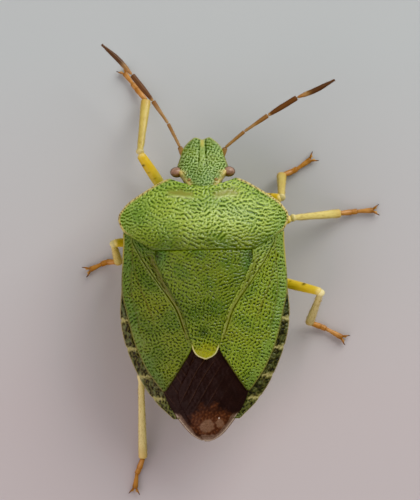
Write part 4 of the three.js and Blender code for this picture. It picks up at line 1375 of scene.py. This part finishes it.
class SHIELDBUG_OT_head(bpy.types.Operator):
    """Model the head with its two lobes, the tylus between them, eyes and ocelli"""

    bl_idname = "shieldbug.head"
    bl_label = "Head"

    def execute(self, context):
        skin = green_cuticle()
        halves = []
        for upper in (True, False):
            piece, relief, coats = self.half(upper)
            give(piece, "relief", relief)
            paint(piece, coats)
            halves.append(piece)
        head = join("head_capsule", halves)
        edit(head, weld, outward)
        dress(head, skin)
        finish(head, "head_capsule", "shield", "head")
        facets, bead = self.eye_material(), self.ocellus_material()
        for side, sign in SIDES:
            self.eye(side, sign, facets)
            self.ocellus(side, sign, bead)
        return {"FINISHED"}

    def half(self, upper):
        """The upper or lower half of the head. Both end on the same line round its side."""
        depth, length = pits()

        def rear(x):
            return np.maximum(shield_front_at(x) - 0.35, head_cheek(np.abs(x)))

        piece, x, y, inset = broad_plate(
            cells(3.0), cells(2.7), HEAD_HALF, rear, lambda x: head_outline(np.abs(x))
        )
        side = np.abs(x)
        top = head_top(y) - 0.5 * (side / HEAD_HALF) ** 2.2 + 0.22 * ramp(y, 5.1, 4.6)
        under = head_under(y) + 0.45 * (x / HEAD_HALF) ** 2 * np.where(y > 6.2, 0.4, 1)
        middle = 0.45 * top + 0.55 * under
        round_off = 0.3 - 0.16 * ramp(y, 5.35, 5.1)
        bow = np.sqrt(1 - np.clip(1 - inset / round_off, 0, 1) ** 2)
        if not upper:
            relief = level(rough(x, y, 0.2, 82), 0.8, 1.6)
            lift(piece, x, y, middle - (middle - under + 0.01 * relief) * bow)
            return piece, 0.4 + 0.5 * relief, ((0.6, "9DA761"),)
        field = rough(x, y, 0.84 * length, 81)
        # The tylus is a smooth ridge between two grooves, darkened with painted shade. The right one
        # is deepest in front and the left one farther back, with a painted highlight on a ridge
        # beside it.
        groove_x = 0.145 + 0.02 * ramp(y, 6.1, 5.5)
        right_run = 0.35 * ramp(y, 5.25, 5.4) + 0.65 * ramp(y, 5.65, 5.95)
        left_run = 0.95 * bump(y, 5.68, 0.2) + 0.4 * ramp(y, 5.9, 6.2)
        groove = bump(side, groove_x, 0.022) * np.where(x > 0, right_run, left_run)
        tylus = ramp(side, groove_x, groove_x - 0.06) * ramp(y, 5.2, 5.8)
        ridge = bump(side, groove_x + 0.06, 0.028) * bump(y, 5.72, 0.3) * np.where(x > 0, 0.4, 1)
        # A pale swelling runs from behind the eye, past the ocellus, to the shield
        cheek_x = 0.62 + 0.43 * ramp(y, 4.55, 5.04) + 0.02 * grain(x, y, 0.25, 84)
        wide = 0.12 + 0.1 * ramp(y, 4.75, 5.08)
        brow = bump(side, cheek_x, wide) * ramp(y, 5.3, 5.15)
        field = field * (1 - 0.8 * tylus) * (1 - 0.85 * brow) + 0.4 * brow
        relief = level(field, 0.3, 1.5) * (1 - 0.7 * groove)
        swell = 1.2 * depth * (level(field, 0.2, 1.0) - 0.55) * inside(inset, 0.12)
        lobe = 0.05 * ramp(side, groove_x, groove_x + 0.25) * ramp(y, 5.2, 5.9)
        shape = lobe - 0.07 * groove + 0.035 * ridge + 0.05 * brow + 0.04 * tylus
        lift(piece, x, y, middle + (top - middle + shape) * bow + swell)
        light = ridges_of(relief)
        coats = (
            # Painted highlights on the ridges of the wrinkles, brightest on their tops
            (0.3 * light, "86A86E"),
            (0.5 * ramp(relief, 0.65, 1.0), "B2CA90"),
            (0.35 * ramp(y, 5.8, 6.4), "5A7832"),
            (0.25 * ramp(grain(x, y, 0.9, 83), 0.0, 1.2), "8A983C"),
            (0.35 * ramp(y, 5.5, 4.9) * (1 - 0.5 * light), "3E6A4A"),
            (0.2 * (1 - light), "2E4A1C"),
            (0.5 * tylus * light, "A2B468"),
            (0.75 * ramp(side, 0.11, 0.04) * ramp(y, 6.12, 6.42), "C9BC5E"),
            # Painted shade in the grooves beside the tylus
            (0.9 * groove, "26330E"),
            # Painted highlight on the ridges beside the grooves, strongest on the left
            (0.7 * ridge, "C8DA96"),
            (0.95 * np.clip(1.4 * brow, 0, 1), "D6C078"),
            (0.5 * np.clip(1.4 * brow, 0, 1) * ramp(y, 4.92, 4.62), "8F8A48"),
            (0.6 * bump(side, cheek_x - 0.2, 0.09) * ramp(y, 5.15, 5.0), "94904C"),
            (0.7 * ramp(inset, 0.07, 0.02) * ramp(y, 5.2, 5.5), "B5AE62"),
        )
        return piece, relief, coats

    def eye(self, side, sign, made):
        """A faceted compound eye: brown, darker round its outer and hind border."""
        (x, y, z), (rx, ry, rz) = EYE
        piece, form = ball(72, 48)
        write(piece, to_frame(form * (rx, ry, rz) + (sign * x, y, z)))
        out = form[:, 0] * sign
        flat = np.hypot(form[:, 0], form[:, 1])
        shadow = bump(out, 0.35, 0.4) * bump(form[:, 1], -0.1, 0.45) * ramp(form[:, 2], 0.2, 0.8)
        coats = (
            (0.3 * shadow, "6A4A40"),
            (0.8 * ramp(flat, 0.78, 0.96), "3A2218"),
            (0.6 * ramp(-out, 0.4, 0.75), "A88A5A"),
        )
        paint(piece, coats)
        dress(piece, made)
        finish(piece, f"compound_eye_{side}", "eye", f"eye_{side}")

    def eye_material(self):
        """Compound eye: hundreds of clear lenses over brown pigment, so it looks like dull glass
        with a fine net."""
        made, tree, shader, place = material("faceted_brown_eye")
        lens = node(tree, "TexVoronoi", {"Scale": 1 / (EYE_LENS * MM)}, {"Vector": place})
        mottle = node(tree, "TexNoise", {"Scale": 1 / (0.12 * MM)}, {"Vector": place})
        pale = tuple(looks().eye_colour)
        stops = ((0.35, between(pale, (0.05, 0.02, 0.01), 0.35)), (0.65, pale))
        base = node(tree, "ValToRGB", {"stops": stops}, {"Fac": mottle.outputs["Fac"]})
        facets = node(
            tree,
            "Bump",
            {"Strength": 0.8, "Distance": 0.006 * MM, "invert": True},
            {"Height": lens.outputs["Distance"]},
        )
        tree.links.new(painted(tree, base.outputs["Color"]), shader.inputs["Base Color"])
        tree.links.new(facets.outputs["Normal"], shader.inputs["Normal"])
        shader.inputs["Roughness"].default_value = 0.34
        shader.inputs["Coat Weight"].default_value = 0.3
        shader.inputs["Coat Roughness"].default_value = 0.12
        return made

    def ocellus(self, side, sign, made):
        """A simple eye: one glassy amber bead on the pale swelling."""
        x, y = OCELLUS
        top = float(head_top(np.array(y)) - 0.5 * (x / HEAD_HALF) ** 2.2) + 0.15
        piece, form = ball(24, 16)
        write(piece, to_frame(form * (0.085, 0.08, 0.045) + (sign * x, y, top + 0.045)))
        dress(piece, made)
        finish(piece, f"ocellus_{side}", "eye")

    def ocellus_material(self):
        """A clear lens over amber pigment, which shows one soft glint."""
        made, tree, shader, place = material("orange_glassy_ocellus")
        cloud = node(tree, "TexNoise", {"Scale": 1 / (0.08 * MM)}, {"Vector": place})
        stops = ((0.3, hex_colour("7A6034")), (0.7, hex_colour("A08A52")))
        glow = node(tree, "ValToRGB", {"stops": stops}, {"Fac": cloud.outputs["Fac"]})
        tree.links.new(glow.outputs["Color"], shader.inputs["Base Color"])
        shader.inputs["Roughness"].default_value = 0.25
        shader.inputs["Coat Weight"].default_value = 0.3
        return made


class SHIELDBUG_OT_feelers(bpy.types.Operator):
    """Model both feelers: five slender joints each, darker and hairier towards the tip"""

    bl_idname = "shieldbug.feelers"
    bl_label = "Feelers"

    THICK = (0.115, 0.075, 0.08, 0.115, 0.11)
    HAIRS = (30, 70, 90, 260, 300)

    def execute(self, context):
        ochre = chitin("ochre_feeler_cuticle", tuple(looks().feeler_colour))
        for side, joints in FEELERS.items():
            parts = []
            for i, thick in enumerate(self.THICK):
                parts += self.joint(joints[i], joints[i + 1], thick, i)
            feeler = join(f"feeler_{side}", parts)
            dress(feeler, ochre)
            nodes = [f"antenna_{side}_{i}" for i in range(1, 6)]
            finish(feeler, f"feeler_{side}", "antenna", *nodes)
        return {"FINISHED"}

    def joint(self, start, end, thick, i):
        """Joint i of a feeler with its hairs. The last one bends a little."""
        start, end = np.array(start), np.array(end)
        bow = np.cross(unit(end - start), (0, 0, 1)) * (0.05 if i == 4 else 0.0)
        points = (start, (start + end) / 2 + bow, end)
        body = {
            0: lambda t: 0.82 + 0.18 * bump(t, 0.6, 0.4),
            1: lambda t: 0.8 + 0.25 * t,
            2: lambda t: 0.78 + 0.5 * ramp(t, 0.1, 1.0),
            3: lambda t: 0.62 + 0.4 * ramp(t, 0.0, 0.45),
            4: lambda t: 0.55 + 0.45 * ramp(t, 0.0, 0.3) - 0.62 * ramp(t, 0.55, 1.0),
        }[i]

        def radius(t, angle):
            return thick * (body(t) - 0.2 * bump(t, 0.0, 0.03) * (i > 1))

        piece, t, _ = limb(points, radius, 20, 48, (0.5, 0.5))
        tops = {
            0: ((0.5 * ramp(t, 0.3, 0.0), "B08A3E"), (0.5 * ramp(t, 0.85, 1.0), "5E3A18")),
            1: ((0.5 * ramp(t, 0.3, 1.0), "8A5C2C"),),
            2: ((0.55 * ramp(t, 0.35, 0.95), "7A4A22"),),
            3: ((0.9 * ramp(t, 0.02, 0.14), "60381C"), (0.8 * ramp(t, 0.1, 0.0), "B98A50")),
            4: ((0.92 * ramp(t, 0.2, 0.42), "4C2C18"), (0.6 * ramp(t, 0.3, 0.0), "B2743A")),
        }[i]
        ring = ramp(t, 0.035, 0.015) * (i > 0)
        paint(piece, (*tops, (0.7 * ring, "C9B48A")))
        long, brown = (0.9, "7A5230") if i > 2 else (0.7, "8A6238")
        return [piece, hairs(points, radius, self.HAIRS[i], long, 90 + i, brown, 0.62)]


# Where the joints of the beak lie, as shares of its length
BEAK_JOINTS = (0.2, 0.5, 0.78)


class SHIELDBUG_OT_beak(bpy.types.Operator):
    """Model the sucking beak: four joints under the head and between the legs"""

    bl_idname = "shieldbug.beak"
    bl_label = "Beak"

    def execute(self, context):
        def knots(t):
            return sum(bump(t, joint, 0.012) for joint in BEAK_JOINTS)

        def radius(t, angle):
            slim = 0.2 - 0.09 * ramp(t, 0.7, 1.0)
            return slim * (1 - 0.22 * knots(t)) * (1 - 0.12 * bump(np.sin(angle), -1, 0.3))

        piece, t, _ = limb(BEAK, radius, 24, 90, (0.6, 1.4))
        coats = (
            (0.6 * ramp(t, 0.1, 0.0), "8A9650"),
            (0.7 * np.clip(knots(t), 0, 1), "5A3A18"),
            (0.95 * ramp(t, 0.86, 0.98), "2A1A10"),
        )
        paint(piece, coats)
        dress(piece, chitin("honey_beak_cuticle", hex_colour("AC8A48")))
        finish(piece, "beak", "beak", "rostrum")
        return {"FINISHED"}


class SHIELDBUG_OT_legs(bpy.types.Operator):
    """Model the six legs from hip to claws, each as a leg piece and a foot piece"""

    bl_idname = "shieldbug.legs"
    bl_label = "Legs"

    def execute(self, context):
        yellow = chitin("yellow_leg_cuticle", tuple(looks().leg_colour), 0.4)
        amber = chitin("amber_foot_cuticle", tuple(looks().foot_colour), 0.4)
        for place, joints in LEGS.items():
            self.leg(place, [np.array(j, float) for j in joints], yellow, amber)
        return {"FINISHED"}

    def leg(self, place, joints, yellow, amber):
        coxa, hip, knee, ankle, first, second, toe = joints
        thigh_full, shin_full, pale, gold = LEG_LOOKS[place.split("_")[0]]
        parts = self.hip(coxa, hip) + self.thigh(hip, knee, thigh_full, gold)
        parts += self.shin(knee, ankle, shin_full, pale)
        leg = join(f"leg_{place}", parts)
        dress(leg, yellow)
        nodes = [f"{bone}_{place}" for bone in ("coxa", "femur", "tibia")]
        finish(leg, f"leg_{place}", "leg", *nodes)
        foot = join(f"foot_{place}", self.foot(ankle, first, second, toe))
        dress(foot, amber)
        finish(foot, f"foot_{place}", "foot", f"tarsus_{place}")

    def hip(self, coxa, hip):
        """Coxa and trochanter as one thick, short cone."""
        cone, t, _ = limb((coxa, hip), lambda t, a: 0.42 - 0.16 * t, 28, 28, (0.8, 0.7))
        paint(cone, ((0.4 * ramp(t, 0.4, 0.9), "8A8A38"),))
        return [cone]

    def thigh(self, hip, knee, full, gold):
        """Femur: thickest in its middle, golden to the knee, with one dark spot and fine dots."""
        inner = hip - 0.1 * unit(knee - hip)

        def radius(t, angle):
            return full * (0.72 + 0.28 * np.sin(math.pi * np.clip(t, 0.05, 0.95)) ** 0.7)

        piece, t, angle = limb((inner, knee), radius, 28, 60, (0.8, 0.7))
        spot = bump(t, 0.8, 0.018) * bump(np.sin(angle - 0.9), 1, 0.12)
        dots = sum(
            bump(t, at, 0.012) * bump(np.sin(angle - turn), 1, 0.04)
            for at, turn in ((0.55, 1.4), (0.64, 0.6), (0.4, 1.9), (0.71, 1.9), (0.5, 0.2))
        )
        coats = (
            (0.5 * ramp(t, 0.6, 0.2), "CCCB62"),
            (gold * ramp(t, 0.35, 0.8), "E0B612"),
            (0.45 * ramp(t, 0.93, 1.0), "EFE3AC"),
            (np.clip(spot, 0, 1), "1E1408"),
            (0.6 * np.clip(dots, 0, 1), "5A4416"),
        )
        paint(piece, coats)
        return [piece, hairs((inner, knee), radius, 90, 1.0, 5, "C9B778")]

    def shin(self, knee, ankle, full, pale):
        """Tibia: pale at the knee and ochre at the ankle."""
        way = unit(ankle - knee)
        line = (knee - 0.03 * way, ankle + 0.02 * way)

        def radius(t, angle):
            # Slender, wider to the ankle, with a shallow groove along its outer face
            swell = 0.78 + 0.3 * ramp(t, 0.2, 1.0) + 0.22 * bump(t, 0.03, 0.05)
            groove = 0.1 * bump(np.sin(angle), 1, 0.12) * ramp(t, 0.08, 0.2)
            return full * (swell - 0.12 * bump(t, 0.1, 0.05)) * (1 - groove)

        piece, t, _ = limb(line, radius, 28, 70, (0.7, 0.4))
        coats = (
            (0.6, pale),
            (0.5 * ramp(t, 0.1, 0.0), "EBE0AE"),
            (0.55 * ramp(t, 0.8, 1.0), "C49A4C"),
        )
        paint(piece, coats)
        count = int(110 * np.linalg.norm(ankle - knee))
        run = (0.12, 0.99)
        return [piece, hairs(line, radius, count, 1.25, 6, "B99A5C", 0.55, THICK_HAIR_RADIUS, run)]

    def foot(self, ankle, first, second, toe):
        """Tarsus of three joints, with two hooked claws and a soft pad beside each."""
        parts = []
        runs = ((ankle, first, 0.105, 0.13), (first, second, 0.115, 0.12), (second, toe, 0.08, 0.12))
        for i, (start, end, thin, wide) in enumerate(runs):
            way = unit(end - start)
            begin, end = start - (0.05 if i else 0.02) * way, end + 0.04 * way

            def radius(t, angle, thin=thin, wide=wide):
                return thin + (wide - thin) * ramp(t, 0.1, 0.9)

            piece, t, _ = limb((begin, end), radius, 20, 26, (0.7, 0.7))
            coats = ((0.5 * ramp(t, 0.6, 1.0), "7A4218"), (0.6 * ramp(t, 0.12, 0.0), "5E3512"))
            if i == 2:
                coats = ((0.3 * ramp(t, 0.0, 0.5), "C08A44"), (0.6 * ramp(t, 0.6, 1.0), "6A3C16"))
            paint(piece, coats)
            parts += [piece, hairs((begin, end), radius, 46, 1.0, 7 + i, "B8864A")]
        ahead = unit((toe - second) * (1, 1, 0))
        beside = np.array((-ahead[1], ahead[0], 0))
        for turn in (-1, 1):
            root = toe + 0.05 * beside * turn
            bend = root + 0.16 * ahead + 0.12 * beside * turn + (0, 0, 0.05)
            tip = root + 0.3 * ahead + 0.2 * beside * turn + (0, 0, -0.13)
            claw, t, _ = limb((root, bend, tip), lambda t, a: 0.05 - 0.038 * t, 12, 20, (0.8, 1.0))
            paint(claw, ((0.5, "7A4A20"), (0.9 * ramp(t, 0.35, 0.8), "2A170C")))
            pad_end = root + 0.17 * ahead + 0.07 * beside * turn - (0, 0, 0.1)
            pad, t, _ = limb((root, pad_end), lambda t, a: 0.035 + 0.03 * t, 12, 14, (0.9, 0.9))
            paint(pad, ((0.7, "C9A868"),))
            parts += [claw, pad]
        return parts


class SHIELDBUG_PT_panel(bpy.types.Panel):
    """Lists the pieces of the shield bug and the sizes of their finish"""

    bl_label = "Shield bug"
    bl_space_type = "VIEW_3D"
    bl_region_type = "UI"
    bl_category = "Shield bug"

    def draw(self, context):
        for name in BugLooks.__annotations__:
            self.layout.prop(context.scene.shield_bug, name)
        for operator in OPERATORS:
            self.layout.operator(operator.bl_idname)


OPERATORS = (
    SHIELDBUG_OT_stage,
    SHIELDBUG_OT_shield,
    SHIELDBUG_OT_scutellum,
    SHIELDBUG_OT_wings,
    SHIELDBUG_OT_films,
    SHIELDBUG_OT_rims,
    SHIELDBUG_OT_underside,
    SHIELDBUG_OT_head,
    SHIELDBUG_OT_feelers,
    SHIELDBUG_OT_beak,
    SHIELDBUG_OT_legs,
)


def register():
    for each in (BugLooks, *OPERATORS, SHIELDBUG_PT_panel):
        bpy.utils.register_class(each)
    bpy.types.Scene.shield_bug = bpy.props.PointerProperty(type=BugLooks)


def unregister():
    del bpy.types.Scene.shield_bug
    for each in (SHIELDBUG_PT_panel, *reversed(OPERATORS), BugLooks):
        bpy.utils.unregister_class(each)


def main():
    register()
    for operator in OPERATORS:
        group, name = operator.bl_idname.split(".")
        getattr(getattr(bpy.ops, group), name)()


if __name__ == "__main__":
    main()
